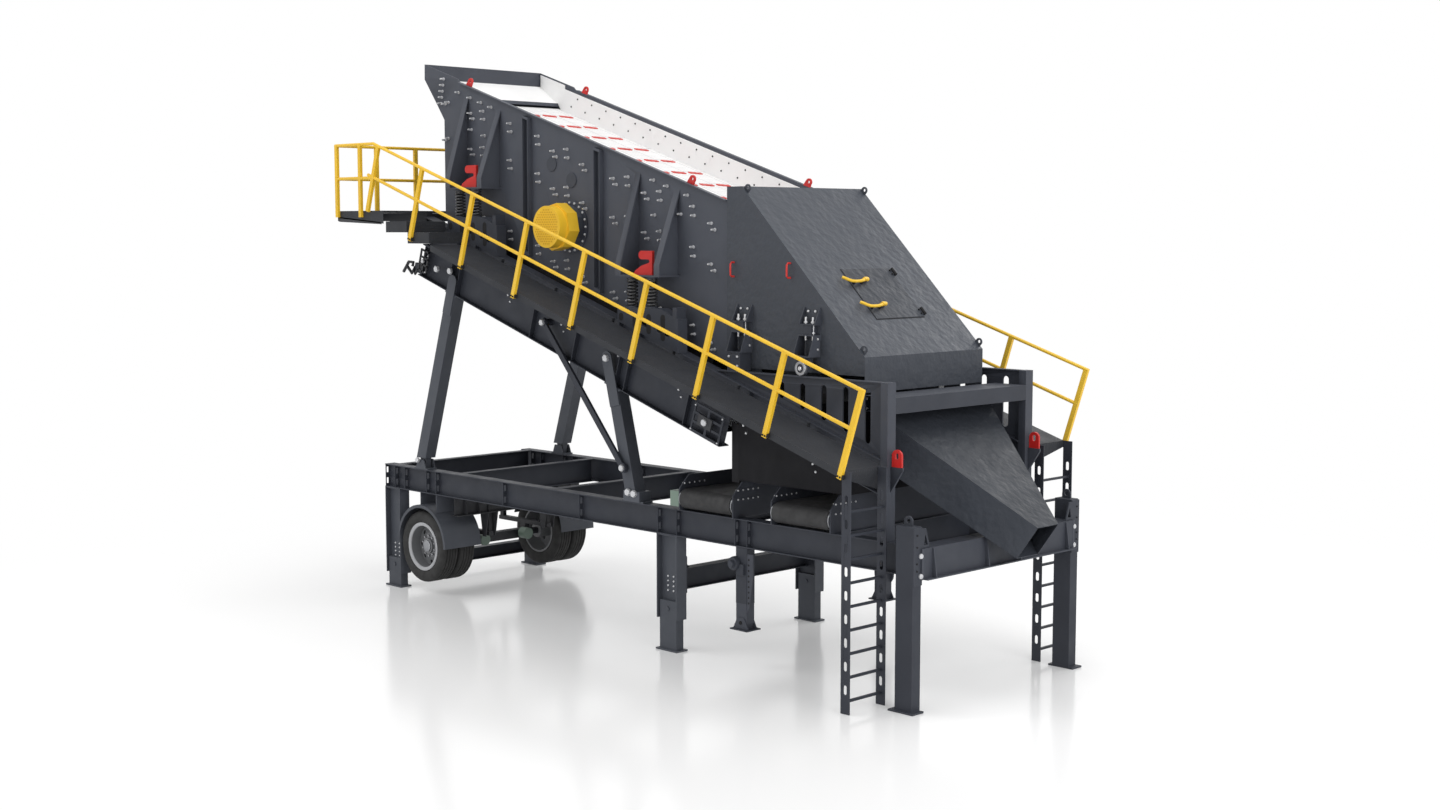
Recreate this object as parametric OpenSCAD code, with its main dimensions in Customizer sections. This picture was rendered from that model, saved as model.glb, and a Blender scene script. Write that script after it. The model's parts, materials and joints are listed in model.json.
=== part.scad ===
// Trailer-mounted vibrating screen plant with walkways, ladders and discharge hood.
// Millimetres, +Z up, +X toward the discharge chute.
// X is laid out from the rear legs and shifted at the end to the middle of the footprint.
// The screen and its frame are laid out along the slope: s runs down it, n stands off it.

/* [Chassis] */
// Distance of each main beam from the centre line
gauge_half = 1270; // [1250:5:1290]
// Top of the main beams above the floor
chassis_top = 1800; // [1760:10:1840]
// Depth of the main beams
beam_h = 340; // [310:10:370]
// Flange width of beams, girders and chords
beam_b = 170; // [160:2:180]
// Flange thickness of beams, girders and chords
flange_t = 14; // [10:1:18]
// Web thickness of beams, girders and chords
web_t = 10; // [8:1:14]
// Rear end of the main beams, from the rear leg centre
beam_x0 = -180; // [-220:10:-180]
// Rear face of the front cross beam
front_x0 = 9735; // [9700:5:9770]
// Length of the front cross beam along the plant
front_w = 235; // [200:5:250]

/* [Legs and running gear] */
// Position of the middle legs
mid_leg_x = 5870; // [5830:10:5890]
// Depth of the leg section along the plant
leg_h = 360; // [340:5:365]
// Section of the front columns along the plant
column_w = 236; // [210:2:250]
// Section of the front columns across the plant
column_b = 144; // [120:2:160]
// Top of the front columns
column_top = 2040; // [2000:10:2100]
// Position of the landing jacks
jack_x = 7155; // [7120:5:7190]
// Underside of the raised jack foot
jack_foot_z = 460; // [380:10:520]
// Axle centre, from the rear leg centre
axle_x = 706; // [702:2:720]
// Axle centre above the floor
axle_z = 672; // [640:4:690]
// Tyre radius
tyre_r = 516; // [500:1:518]
// Rim barrel radius
rim_r = 326; // [310:1:340]
// Middle of each dual wheel set from the centre line
wheel_y = 1058; // [1050:1:1066]
// Mudguard radius
fender_r = 580; // [576:1:590]

/* [Slope frame] */
// Slope of the screen
slope_deg = 17.8; // [17.4:0.1:18.2]
// Height of the slope datum above the rear leg centre
slope_z = 4810; // [4780:5:4840]
// Depth of the lower girders
girder_h = 460; // [440:5:480]
// Upper end of the lower girders along the slope
girder_s0 = 750; // [720:5:790]
// Lower end of the lower girders along the slope
girder_s1 = 7130; // [7080:5:7160]
// Depth of the upper chords
chord_h = 380; // [360:5:400]
// Rear face of the end posts
post_x0 = 9300; // [9280:5:9310]
// Size of the end posts along the plant
post_w = 100; // [80:5:120]
// Top of the slotted side plates below the datum
plate_drop = 1260; // [1240:5:1280]
// Width of the plate slots
slot_w = 86; // [70:2:100]
// Spacing of the plate slots
slot_pitch = 328; // [310:2:340]

/* [Screen box] */
// Outer face of the screen side plates from the centre line
screen_half = 1060; // [1040:5:1075]
// Side plate thickness
side_t = 12; // [8:1:16]
// Lower edge of the side plates above the datum
side_n0 = 900; // [880:5:920]
// Upper edge of the side plates above the datum
side_n1 = 2755; // [2720:5:2790]
// Top face of the deck panels above the datum
deck_n = 2390; // [2360:5:2410]
// Spring station nearest the feed end
station_1 = 1880; // [1860:5:1900]
// Spring station nearest the discharge end
station_2 = 5410; // [5390:5:5430]
// Half distance between the two ribs of a station
rib_half = 355; // [335:5:375]
// Half distance between the two springs of a station
spring_half = 180; // [160:5:200]
// Coil radius of the springs
coil_r = 60; // [50:2:66]
// Wire radius of the springs
wire_r = 13; // [10:1:15]
// Turns of each spring
coil_turns = 8; // [7:1:9]
// Radius of the drum of the drive guard
guard_r = 272; // [255:2:285]
// Length of the drum of the drive guard
drum_l = 130; // [100:5:160]
// Length of the eight-sided box of the drive guard
guard_l = 170; // [140:5:200]
// Length of the bearing housing behind the guard
housing_l = 120; // [100:5:140]

/* [Hood and chute] */
// Rear edge of the hood
hood_x0 = 6655; // [6600:5:6700]
// Flat top of the hood along the plant
hood_flat = 250; // [220:5:280]
// Hood top above the datum
hood_rise = 920; // [900:5:940]
// Sheet thickness of hood, chute and hopper
sheet_t = 8; // [6:1:12]
// Width of the inspection hatch
hatch_w = 870; // [800:10:900]
// Length of the inspection hatch along the slope
hatch_l = 800; // [760:10:840]
// Front of the chute mouth
chute_x1 = 10590; // [10560:5:10620]
// Top of the chute mouth above the floor
chute_z1 = 1960; // [1940:5:1980]
// Half width of the chute mouth
chute_half = 195; // [170:5:220]

/* [Walkways and rails] */
// Outer edge of the walkways from the centre line
walk_half = 2050; // [2020:5:2080]
// Top of the platform above the datum
deck_rise = 670; // [655:5:685]
// Rear edge of the platform
platform_x0 = -220; // [-260:10:-180]
// Height of the top rail above the slope datum
rail_n = 1735; // [1700:5:1770]
// Distance between the top rail and the middle rail
rail_gap = 445; // [420:5:470]
// Post spacing along the slope
post_pitch = 1170; // [1150:5:1180]
// Rail tube radius
rail_r = 22; // [18:1:26]
// Ladder rung spacing
rung_pitch = 258.5; // [245:0.5:265]
// Ladder stringer width along the plant
stringer_w = 130; // [110:5:140]

/* [Cross conveyors] */
// Rear edge of the first cross belt
belt_1_x = 6180; // [6150:5:6200]
// Rear edge of the second cross belt
belt_2_x = 7730; // [7700:5:7750]
// Width of the cross belts
belt_w = 860; // [820:10:880]
// Radius of the belt drums
drum_r = 110; // [100:2:120]

/* [Output] */
// Node to show, or all

/* [Hidden] */
$fn = 64;
chassis_bot = chassis_top - beam_h;
beam_in = gauge_half - beam_b / 2;
beam_out = gauge_half + beam_b / 2;
front_x1 = front_x0 + front_w;
column_in = gauge_half + 128;
column_y = column_in + column_b / 2;
stub_r = 50;
fender_x = axle_x + 29;
fender_z = axle_z + 33;
fender_out = beam_out + 30;
drive_x = 3742;
drive_z = slope_z + 443;
seat_gap = 0.3;
cross_x = [0, 1500, 3600, mid_leg_x, 8600];
deck_s0 = 260;
deck_s1 = 6860;
rung_z = 125;
chord_n = girder_h + chord_h;
chord_x0 = 900;
post_x1 = post_x0 + post_w;
frame_top = slope_z - plate_drop;
lug_z = frame_top - 925;
chute_x0 = post_x1 - 440;
inlet_half = 1050;
inlet_z0 = frame_top - 930;
inlet_z1 = frame_top - 362;
mouth_run = 267;
mouth_h = 378;
beam_z0 = frame_top - 350;
beam_z1 = frame_top - 170;
shelf_n = 1490;
seat_n = 1125;
spring_y = gauge_half + 50;
shelf_out = spring_y + 90;
seat_t = 20;
hood_half = screen_half + 21;
hood_top = slope_z + hood_rise;
hood_x1 = hood_x0 + hood_flat;
hood_run = 1940;
hood_x2 = hood_x1 + hood_run;
hood_bot = frame_top + 25;
// Front end of the side plates, where their top edge would meet the hood slope
side_x1 = (hood_top + hood_x1 - 1.414 * sheet_t - 25 - slope_z - side_n1 / cos(slope_deg))
  / (1 - tan(slope_deg));
platform_z = slope_z + deck_rise;
walk_in = beam_out + 45;
step_in = spring_y + 80;
walk_n = chord_n - 40;
walk_x0 = 1985;
walk_x1 = post_x0 + 65;
belt_t = 12;
frame_t = 20;
drum_z = chassis_top + 145;
hopper_x0 = 6960;
hopper_x1 = 8720;
conveyor_top = chassis_top + 430;
level_rail = 1590;
footprint_x = (platform_x0 - max(40, 20 + rail_r) + chute_x1) / 2;

// Height above the floor of the plane n at the place x
function wz(x, n) = slope_z + (n - x * sin(slope_deg)) / cos(slope_deg);
// Distance down the slope of the point of the plane n at the place x
function along(x, n) = (x - n * sin(slope_deg)) / cos(slope_deg);

module placed() { translate([-footprint_x, 0, 0]) children(); }
module both() { children(); mirror([0, 1, 0]) children(); }
module inclined() { translate([0, 0, slope_z]) rotate([0, slope_deg, 0]) children(); }
// Extrudes an X and Z outline across the plant, from y0 to y1
module across(y0, y1) { translate([0, y1, 0]) rotate([90, 0, 0]) linear_extrude(y1 - y0) children(); }
// Extrudes a Y and Z outline along the plant, from x0 to x1
module lengthwise(x0, x1) {
  translate([x0, 0, 0]) rotate([90, 0, 90]) linear_extrude(x1 - x0) children();
}
// I-section along +X, centred in Y, standing on Z 0
module ibeam(len, h, b) {
  translate([0, -b / 2, 0]) cube([len, b, flange_t]);
  translate([0, -b / 2, h - flange_t]) cube([len, b, flange_t]);
  translate([0, -web_t / 2, flange_t / 2]) cube([len, web_t, h - flange_t]);
}
// Stiffener between the flanges of an I-section
module stiffener(x, h) {
  translate([x - 6, -beam_b / 2 + 8, flange_t / 2]) cube([12, beam_b - 16, h - flange_t]);
}
// Stiffener with two windows on each side of the web
module window_stiffener(x, h) {
  difference() {
    stiffener(x, h);
    for (y = [-beam_b / 4 - 2, beam_b / 4 + 2], z = [h / 4 + 5, 3 * h / 4 - 5])
      translate([x - 20, y - 18, z - h / 8]) cube([40, 36, h / 4]);
  }
}
module crossbeam(x, w, h, z, half) { translate([x, -half, z]) rotate([0, 0, 90]) ibeam(2 * half, h, w); }
module slot2d(w, z0, z1) {
  translate([0, z0 + w / 2]) circle(d = w);
  translate([0, z1 - w / 2]) circle(d = w);
  translate([-w / 2, z0 + w / 2]) square([w, z1 - z0 - w]);
}
module loop2d(len, r) {
  circle(r = r);
  translate([len, 0]) circle(r = r);
  translate([0, -r]) square([len, 2 * r]);
}

// Chassis
module chassis_beams() {
  color("#3f4650") placed() both()
    translate([beam_x0, -gauge_half, chassis_bot]) {
      ibeam(front_x0 - beam_x0, beam_h, beam_b);
      for (x = [60, 300, 830, 1060, 2600, 4200, 5700, 6040, jack_x - 100, jack_x + 100, 9300])
        window_stiffener(x - beam_x0, beam_h);
      window_stiffener(6, beam_h);
    }
}
module chassis_cross_beams() {
  color("#3f4650") placed()
    for (x = cross_x) crossbeam(x, 120, beam_h, chassis_bot, beam_in);
}
module front_cross_beam() {
  color("#3f4650") placed() {
    translate([front_x0, -column_in, chassis_bot]) cube([front_w, 2 * column_in, flange_t]);
    translate([front_x0, -column_in, chassis_top - flange_t]) cube([front_w, 2 * column_in, flange_t]);
    translate([front_x1 - web_t, -column_in, chassis_bot]) cube([web_t, 2 * column_in, beam_h]);
    for (y = [-900, -450, 0, 450, 900])
      translate([front_x0 + 20, y - 6, chassis_bot + 5]) cube([front_w - 25, 12, beam_h - 10]);
  }
}
module leg(x, shoe_z) {
  translate([x, -gauge_half, 0]) {
    translate([-leg_h / 2 - 10, -95, 0]) cube([leg_h + 20, 190, 20]);
    translate([-leg_h / 2 + 30, -60, 10]) cube([leg_h - 60, 120, shoe_z + 220]);
    for (e = [-leg_h / 2, leg_h / 2 - flange_t])
      translate([e, -beam_b / 2, shoe_z]) cube([flange_t, beam_b, chassis_bot - shoe_z]);
    translate([-leg_h / 2 + 5, -web_t / 2, shoe_z]) cube([leg_h - 10, web_t, chassis_bot - shoe_z]);
    translate([-leg_h / 2 + 5, -beam_b / 2 + 10, chassis_bot - 14]) cube([leg_h - 10, beam_b - 20, 14]);
    translate([0, 75, shoe_z + 130]) rotate([90, 0, 0]) cylinder(r = 28, h = 150);
  }
}
module support_legs() {
  color("#3f4650") placed() both() {
    leg(0, 200);
    leg(mid_leg_x, 400);
  }
}
module tie(x, z0, h) {
  crossbeam(x, 150, h, z0, beam_in - 8);
  both() {
    translate([x - leg_h / 2, -beam_in, z0 - 20]) cube([leg_h, 16, h + 200]);
    lengthwise(x - 7, x + 7)
      polygon([[-beam_in + 8, z0 + h - 5], [-beam_in + 230, z0 + h - 5], [-beam_in + 8, z0 + h + 170]]);
  }
}
module leg_tie_beams() {
  color("#3f4650") placed() {
    tie(0, 220, 180);
    tie(mid_leg_x, 750, 260);
  }
}
module front_columns() {
  gusset_h = column_top - chassis_top - 25;
  color("#3f4650") placed() both()
    translate([front_x0 + 85, -column_y, 0]) {
      translate([-175, -122, 0]) cube([350, 194, 20]);
      translate([-column_w / 2, -column_b / 2, 10]) cube([column_w, column_b, column_top - 10]);
      translate([column_w / 2 - 4, -column_b / 2, 1400]) cube([20, column_b, column_top - 1410]);
      // Gusset with a three-cornered hole on top of the front cross beam
      lengthwise(column_w / 2 - 4, column_w / 2 + 16) translate([column_b / 2, chassis_top]) difference() {
        polygon([[-2, 0], [130, 0], [62, gusset_h], [-2, gusset_h]]);
        polygon([[26, 35], [92, 35], [48, gusset_h - 65]]);
      }
      translate([0, 10, column_top - 5]) rotate([90, 0, 0]) linear_extrude(20) difference() {
        union() {
          translate([-60, 0]) square([120, 55]);
          translate([0, 55]) circle(r = 60);
        }
        translate([0, 60]) circle(r = 27);
      }
    }
}
module landing_jacks() {
  color("#3f4650") placed() both()
    translate([jack_x, -gauge_half, 0]) {
      translate([-145, -120, jack_foot_z]) cube([290, 240, 18]);
      translate([-80, -65, jack_foot_z + 10]) cube([160, 130, 70]);
      translate([-62, -46, jack_foot_z + 70]) cube([124, 92, 600]);
      translate([-90, -68, jack_foot_z + 320]) cube([180, 136, chassis_bot - jack_foot_z - 320]);
      translate([-60, -100, chassis_bot - 330]) cube([120, 40, 130]);
    }
}

// Running gear
module axle() {
  color("#2c3036") placed() translate([axle_x, 0, axle_z]) {
    translate([-65, -640, -65]) cube([130, 1280, 130]);
    translate([0, wheel_y + 180, 0]) rotate([90, 0, 0]) cylinder(r = stub_r, h = 2 * wheel_y + 360);
  }
}
module suspension() {
  color("#2c3036") placed() both() {
    translate([-60, -590, chassis_bot - 130]) cube([1620, 100, 130]);
    for (x = [axle_x - 560, axle_x + 480])
      translate([x, -570, axle_z + 140]) cube([80, 60, chassis_bot - axle_z - 260]);
    translate([axle_x - 580, -580, axle_z + 138]) cube([1160, 80, 60]);
    translate([axle_x - 60, -580, axle_z + 65]) cube([120, 80, 80]);
  }
}
module brake_chambers() {
  color("#8fb29a") placed() both()
    translate([axle_x + 65, -400, axle_z + 20]) rotate([0, 90, 0]) {
      cylinder(r = 40, h = 60);
      translate([0, 0, 50]) cylinder(r = 84, h = 150);
    }
}
// Arched sheet with a lip along its outer edge, open below its centre and short of the leg
module fenders() {
  y0 = -fender_out;
  y1 = -wheel_y + 308;
  color("#33383f") placed() both() {
    difference() {
      translate([fender_x, 0, fender_z]) {
        across(y0, y1) difference() {
          circle(r = fender_r, $fn = 96);
          circle(r = fender_r - 6, $fn = 96);
        }
        across(y0, y0 + 6) difference() {
          circle(r = fender_r - 1, $fn = 96);
          circle(r = fender_r - 45, $fn = 96);
        }
      }
      translate([-1000, -2000, 0]) cube([1010 + leg_h / 2, 2000, 2000]);
      translate([-1000, -2000, -100]) cube([4000, 2000, fender_z + 100]);
    }
    for (x = [-75, 300])
      translate([fender_x + x, -gauge_half - 60, fender_z + fender_r - (x > 0 ? 90 : 12)])
        cube([14, 400, chassis_bot - fender_z - fender_r + (x > 0 ? 90 : 12)]);
  }
}
// Dual rim about the axle, its profile measured outward from the centre line
module rims() {
  hole_r = (stub_r + 60 + rim_r) / 2;
  difference() {
    rotate([90, 0, 0]) rotate_extrude($fn = 96) {
      translate([stub_r + 0.1, wheel_y - 296]) square([60, 490]);
      translate([stub_r + 0.1, wheel_y - 21]) square([rim_r - stub_r - 5, 40]);
      translate([rim_r - 16, wheel_y - 270]) square([16, 540]);
      for (z = [wheel_y - 270, wheel_y + 258]) translate([rim_r - 16, z]) square([30, 12]);
    }
    for (k = [0:7]) rotate([0, 45 * k, 0]) translate([hole_r, -wheel_y + 60, 0]) rotate([90, 0, 0])
      cylinder(r = 38, h = 120);
  }
}
module tyre_ring(z) {
  r = rim_r;
  rotate([90, 0, 0]) rotate_extrude($fn = 96) translate([0, z])
    polygon([[r, -109], [r + 16, -109], [r + 36, -124], [tyre_r - 95, -139], [tyre_r - 30, -131],
             [tyre_r, -108], [tyre_r, 108], [tyre_r - 30, 131], [tyre_r - 95, 139],
             [r + 36, 124], [r + 16, 109], [r, 109]]);
}
module tyres() {
  tyre_ring(wheel_y - 148);
  tyre_ring(wheel_y + 148);
}
module at_axle() { placed() translate([axle_x, 0, axle_z]) children(); }
module near_rims() { color("#8d9298") at_axle() rims(); }
module near_tyres() { color("#1b1b1c") at_axle() tyres(); }
module far_rims() { color("#8d9298") at_axle() mirror([0, 1, 0]) rims(); }
module far_tyres() { color("#1b1b1c") at_axle() mirror([0, 1, 0]) tyres(); }

// Frame along the slope
module slope_girders() {
  color("#3f4650") placed() both() inclined() {
    translate([girder_s0, -gauge_half, 0]) {
      ibeam(girder_s1 - girder_s0, girder_h, beam_b);
      for (s = [60, 720, 910, 2600, 3500, 4380, 4560, 5700]) stiffener(s, girder_h);
    }
    // Take-up plate with two columns of windows
    difference() {
      translate([girder_s1 - 520, -beam_out - 16, 15]) cube([520, 18, girder_h - 90]);
      for (s = [girder_s1 - 490, girder_s1 - 240], n = [45, 160, 275])
        translate([s, -beam_out - 30, n]) cube([210, 50, 80]);
    }
  }
}
module slope_ties() {
  color("#3f4650") placed() inclined()
    for (s = [1300, 2700, 4100, 5500, 6700])
      translate([s, -beam_in, 0]) rotate([0, 0, 90]) ibeam(2 * beam_in, 90, 120);
}
module slope_chords() {
  color("#3f4650") placed() both() difference() {
    inclined() translate([400, -gauge_half, girder_h]) {
      ibeam(9600, chord_h, beam_b);
      for (s = [1100, 1500, 4600, 5000, 7000]) stiffener(s, chord_h);
    }
    translate([-1000, -2000, 3000]) cube([1000 + chord_x0, 2000, 4000]);
    translate([post_x0, -2000, 1000]) cube([3000, 2000, 3000]);
  }
}
module below(z) { translate([-1000, -3000, -1000]) cube([12000, 6000, 1000 + z]); }
module prop_cheek(len, w) {
  across(-beam_out - 16, -beam_out) {
    circle(d = w);
    translate([-w / 2, -len]) square([w, len]);
  }
}
module rear_props() {
  s = 1565;
  z0 = chassis_top + 10;
  color("#3f4650") placed() both() {
    difference() {
      inclined() translate([s - 100, -beam_out - 2, -3200]) cube([200, beam_b + 4, 3181]);
      below(chassis_top + 165);
    }
    inclined() translate([s - 130, -beam_out + 1, -20]) cube([260, beam_b - 2, 20]);
    inclined() translate([s, 0, 180]) prop_cheek(480, 180);
    // Clevis at the foot: pin block between two cheeks on a base plate
    translate([570, -gauge_half - 85, chassis_top]) cube([300, 170, 20]);
    across(-gauge_half - 45, -gauge_half + 45)
      polygon([[650, z0], [780, z0], [800, z0 + 170], [660, z0 + 170]]);
    for (y = [-beam_out - 2, -beam_in - 14]) across(y, y + 16)
      polygon([[600, z0], [840, z0], [790, z0 + 130], [650, z0 + 130]]);
  }
}
module front_props() {
  pin_x = 4783;
  pin_z = slope_z - 1212;
  base_x = 5240;
  lean = atan((base_x - pin_x) / (pin_z - chassis_top));
  color("#3f4650") placed() both() {
    difference() {
      translate([base_x, 0, chassis_top]) rotate([0, -lean, 0])
        translate([-95, -beam_out - 2, -200]) cube([190, beam_b + 4, 2400]);
      below(chassis_top + 18);
      inclined() translate([0, -3000, -19]) cube([12000, 6000, 3000]);
    }
    inclined() translate([along(pin_x + 80, -10) - 150, -beam_out + 1, -20]) cube([300, beam_b - 2, 20]);
    translate([pin_x, 0, pin_z]) rotate([0, -lean, 0]) prop_cheek(620, 180);
    translate([base_x - 200, -gauge_half - 85, chassis_top]) cube([400, 170, 20]);
    translate([base_x - 150, -gauge_half - 100, chassis_top + 10]) cube([300, 200, 130]);
  }
}
module diagonal_struts() {
  top = [3570, slope_z - 803];
  foot = [5125, chassis_top + 430];
  run = foot - top;
  color("#3f4650") placed() both() {
    translate([top[0], 0, top[1]]) rotate([0, atan2(-run[1], run[0]), 0])
      translate([0, -beam_out - 62, -40]) cube([norm(run), 38, 80]);
    for (p = [top, foot])
      translate([p[0], -beam_out - 20, p[1]]) rotate([90, 0, 0]) cylinder(r = 62, h = 46);
    translate([top[0], -gauge_half - web_t / 2, top[1]]) rotate([90, 0, 0])
      cylinder(r = 45, h = beam_b / 2 - web_t / 2 + 30);
    translate([foot[0], -beam_out - 2, foot[1]]) rotate([90, 0, 0]) cylinder(r = 45, h = 30);
  }
}
module belt_scraper() {
  color("#3f4650") placed() inclined() {
    translate([girder_s0 - 130, gauge_half + 20, 60]) rotate([90, 0, 0])
      cylinder(r = 34, h = 2 * gauge_half + 40);
    both() translate([girder_s0 - 190, -gauge_half - 20, 0]) cube([190, 40, 120]);
    translate([girder_s0 - 137, -900, 30]) cube([14, 1800, 130]);
  }
}
module belt_run(len, y0, y1) {
  across(y0, y1) difference() {
    loop2d(len, drum_r + belt_t);
    loop2d(len, drum_r);
  }
}
module cross_belt(x) {
  translate([x, 0, drum_z]) rotate([0, 0, 90]) translate([-1310, 0, 0]) belt_run(2620, -belt_w, 0);
}
module belts() {
  color("#1d1d1f") placed() {
    inclined() translate([girder_s0 + 190, 0, girder_h / 2]) belt_run(girder_s1 - girder_s0 - 480, -900, 900);
    cross_belt(belt_1_x);
    cross_belt(belt_2_x);
  }
}
module belt_drums() {
  color("#6d7278") placed() {
    inclined() for (s = [girder_s0 + 190, girder_s1 - 290])
      translate([s, 0, girder_h / 2]) rotate([90, 0, 0]) {
        cylinder(r = drum_r, h = 1840, center = true);
        cylinder(r = 36, h = 2 * gauge_half - web_t, center = true);
      }
    for (x = [belt_1_x, belt_2_x], y = [-1310, 1310])
      translate([x - 20, y, drum_z]) rotate([0, 90, 0]) cylinder(r = drum_r, h = belt_w + 40);
  }
}

// Screen box
module side_outline() {
  polygon([[1000, wz(1000, side_n0)], [1000, slope_z + 1945], [820, slope_z + 2183],
           [542, slope_z + 2534], [547, slope_z + 2745], [1320, wz(1320, side_n1 + 26)],
           [1365, wz(1365, side_n1)], [side_x1, wz(side_x1, side_n1)], [side_x1, wz(side_x1, side_n0)]]);
}
module rib(x, top_n, z0) {
  y0 = -screen_half + 2;
  y1 = -shelf_out + 10;
  z1 = wz(x, top_n);
  lengthwise(x - 6, x + 6) polygon([[y0, z1], [y1, z0 + 150], [y1, z0], [y0, z0]]);
  lengthwise(x - 50, x + 50)
    polygon([[y0, z1 + 20], [y0, z1 - 30], [y1, z0 + 140], [y1, z0], [y1 - 10, z0], [y1 - 10, z0 + 150]]);
}
module station(x) {
  z = wz(x, shelf_n);
  rib(x - rib_half, 2600, z);
  rib(x + rib_half, 2600, z);
  translate([x - rib_half - 50, -shelf_out, z])
    cube([2 * rib_half + 100, shelf_out - screen_half + 4, seat_t]);
  for (e = [-spring_half, spring_half])
    translate([x + e, -spring_y, z - seat_t]) cylinder(r = coil_r + 14, h = seat_t + 5);
}
module channel(x) {
  across(-screen_half - 70, -screen_half + 4) difference() {
    polygon([[x - 60, wz(x - 60, side_n0 + 60)], [x + 60, wz(x + 60, side_n0 + 60)],
             [x + 60, wz(x + 60, side_n1 - 60)], [x - 60, wz(x - 60, side_n1 - 60)]]);
    polygon([[x - 52, wz(x - 52, side_n0 + 90)], [x + 52, wz(x + 52, side_n0 + 90)],
             [x + 52, wz(x + 52, side_n1 - 90)], [x - 52, wz(x - 52, side_n1 - 90)]]);
  }
}
module side_plates() {
  color("#4a525c") placed() both() {
    across(-screen_half, -screen_half + side_t) side_outline();
    inclined() translate([560, -screen_half - 50, side_n1 - 12])
      cube([along(hood_x0 - 10, side_n1) - 560, 52, 12]);
    station(station_1);
    station(station_2);
    for (x = [2880, 4330]) channel(x);
    translate([drive_x, -screen_half + 2, drive_z]) rotate([90, 0, 0]) {
      cylinder(r = guard_r + 75, h = 20);
      cylinder(r = guard_r + 10, h = housing_l + 2);
    }
  }
}
module feed_back_plate() {
  half = screen_half - side_t;
  color("#4a525c") placed() across(-half, half)
    polygon([[547, slope_z + 2745], [542, slope_z + 2534], [820, slope_z + 2183], [1000, slope_z + 1945],
             [1000, slope_z + 1500], [1012, slope_z + 1500], [1012, slope_z + 1949], [830, slope_z + 2190],
             [554, slope_z + 2539], [559, slope_z + 2745]]);
}
module feed_apron() {
  half = screen_half - side_t;
  color("#e6e6e2") placed() across(-half, half)
    polygon([[559, slope_z + 2540], [570, slope_z + 2528], [970, slope_z + 2280], [970, slope_z + 2232],
             [956, slope_z + 2232], [956, slope_z + 2272], [594, slope_z + 2494], [555, slope_z + 2538]]);
}
module screen_deck() {
  half = screen_half - side_t;
  color("#ecece8") placed() inclined() translate([deck_s0, -half, deck_n - 40])
    cube([deck_s1 - deck_s0, 2 * half, 40]);
}
module side_liners() {
  half = screen_half - side_t;
  liner_s1 = along(side_x1 - 20, side_n1 - 50);
  color("#e6e6e2") placed() both() inclined()
    translate([deck_s0 + 60, -half, deck_n]) cube([liner_s1 - deck_s0 - 60, 20, side_n1 - deck_n - 50]);
}
module deck_tubes() {
  half = screen_half - side_t;
  color("#3f4650") placed() {
    inclined() for (s = [700, 1900, 3100, 4300, 5500, 6600])
      translate([s - 50, -half, deck_n - 140]) cube([100, 2 * half, 100]);
    translate([drive_x, half, drive_z]) rotate([90, 0, 0]) cylinder(r = 210, h = 2 * half);
  }
}
module drive_guards() {
  color("#f2b705") placed() both()
    translate([drive_x, -screen_half - housing_l, drive_z]) rotate([90, 0, 0]) difference() {
      union() {
        linear_extrude(guard_l) rotate(-10) circle(r = guard_r + 42, $fn = 8);
        cylinder(r = guard_r, h = guard_l + drum_l);
      }
      translate([0, 0, -10]) cylinder(r = guard_r - 8, h = guard_l + drum_l + 2);
    }
}
// Chunky hook: rounded head over a mouth that opens to the rear, on a sloped base
module hook2d() {
  difference() {
    union() {
      translate([-35, 247]) circle(r = 53);
      translate([-35, 194]) square([195, 106]);
      polygon([[-200, 0], [160, 0], [160, 200], [75, 200], [75, 146], [-40, 115], [-150, 55]]);
    }
    translate([84, 170]) circle(r = 24);
  }
}
module spring_hooks() {
  color("#c8201e") placed() both() for (x = [station_1, station_2])
    translate([x + 40, 0, wz(x, shelf_n) + seat_t]) across(-spring_y - 20, -spring_y + 20) hook2d();
}
// Helical wire between two seats, six-sided section with a corner at the top and the bottom
module coil(h) {
  steps = 10 * coil_turns;
  rise = h - 2 * wire_r;
  points = [for (i = [0:steps]) for (k = [0:5])
    let (a = 360 * coil_turns * i / steps, r = coil_r + wire_r * cos(60 * k + 30))
    [r * cos(a), r * sin(a), wire_r + rise * i / steps + wire_r * sin(60 * k + 30)]];
  walls = [for (i = [0:steps - 1]) for (k = [0:5])
    let (a = 6 * i + k, b = 6 * i + (k + 1) % 6)
    each [[a, a + 6, b], [b, a + 6, b + 6]]];
  caps = [[0, 1, 2, 3, 4, 5], [for (k = [5:-1:0]) 6 * steps + k]];
  polyhedron(points, concat(walls, caps), convexity = 10);
}
module coil_springs() {
  color("#161616") placed() both() for (x = [station_1, station_2], e = [-spring_half, spring_half])
    translate([x + e, -spring_y, wz(x, seat_n) + seat_t])
      coil(wz(x, shelf_n) - wz(x, seat_n) - 2 * seat_t);
}
module pedestal(x) {
  x0 = x - 380;
  x1 = x + 720;
  z = wz(x, seat_n);
  across(-spring_y - 80, -spring_y + 80) difference() {
    polygon([[x0, wz(x0, chord_n + seat_gap)], [x1, wz(x1, chord_n + seat_gap)], [x1, z - 120],
             [x1 - 330, z], [x0, z]]);
    translate([x + 60, wz(x + 60, chord_n) + 110]) rotate(-slope_deg) translate([-80, 0]) square([220, 60]);
    translate([x + 420, wz(x + 420, chord_n) + 130]) rotate(-slope_deg) translate([-80, 0]) square([220, 70]);
  }
  translate([x1 - 90, -spring_y - 80, z - 130]) cube([70, 160, 150]);
  for (e = [-spring_half, spring_half])
    translate([x + e, -spring_y, z - 5]) cylinder(r = coil_r + 14, h = seat_t + 5);
}
module spring_pedestals() {
  color("#4a525c") placed() both() {
    pedestal(station_1);
    pedestal(station_2);
  }
}
module lug2d() {
  difference() {
    union() {
      translate([5, 0]) square([140, 130]);
      translate([75, 125]) circle(r = 70);
    }
    translate([75, 0]) slot2d(46, 85, 160);
  }
}
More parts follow.
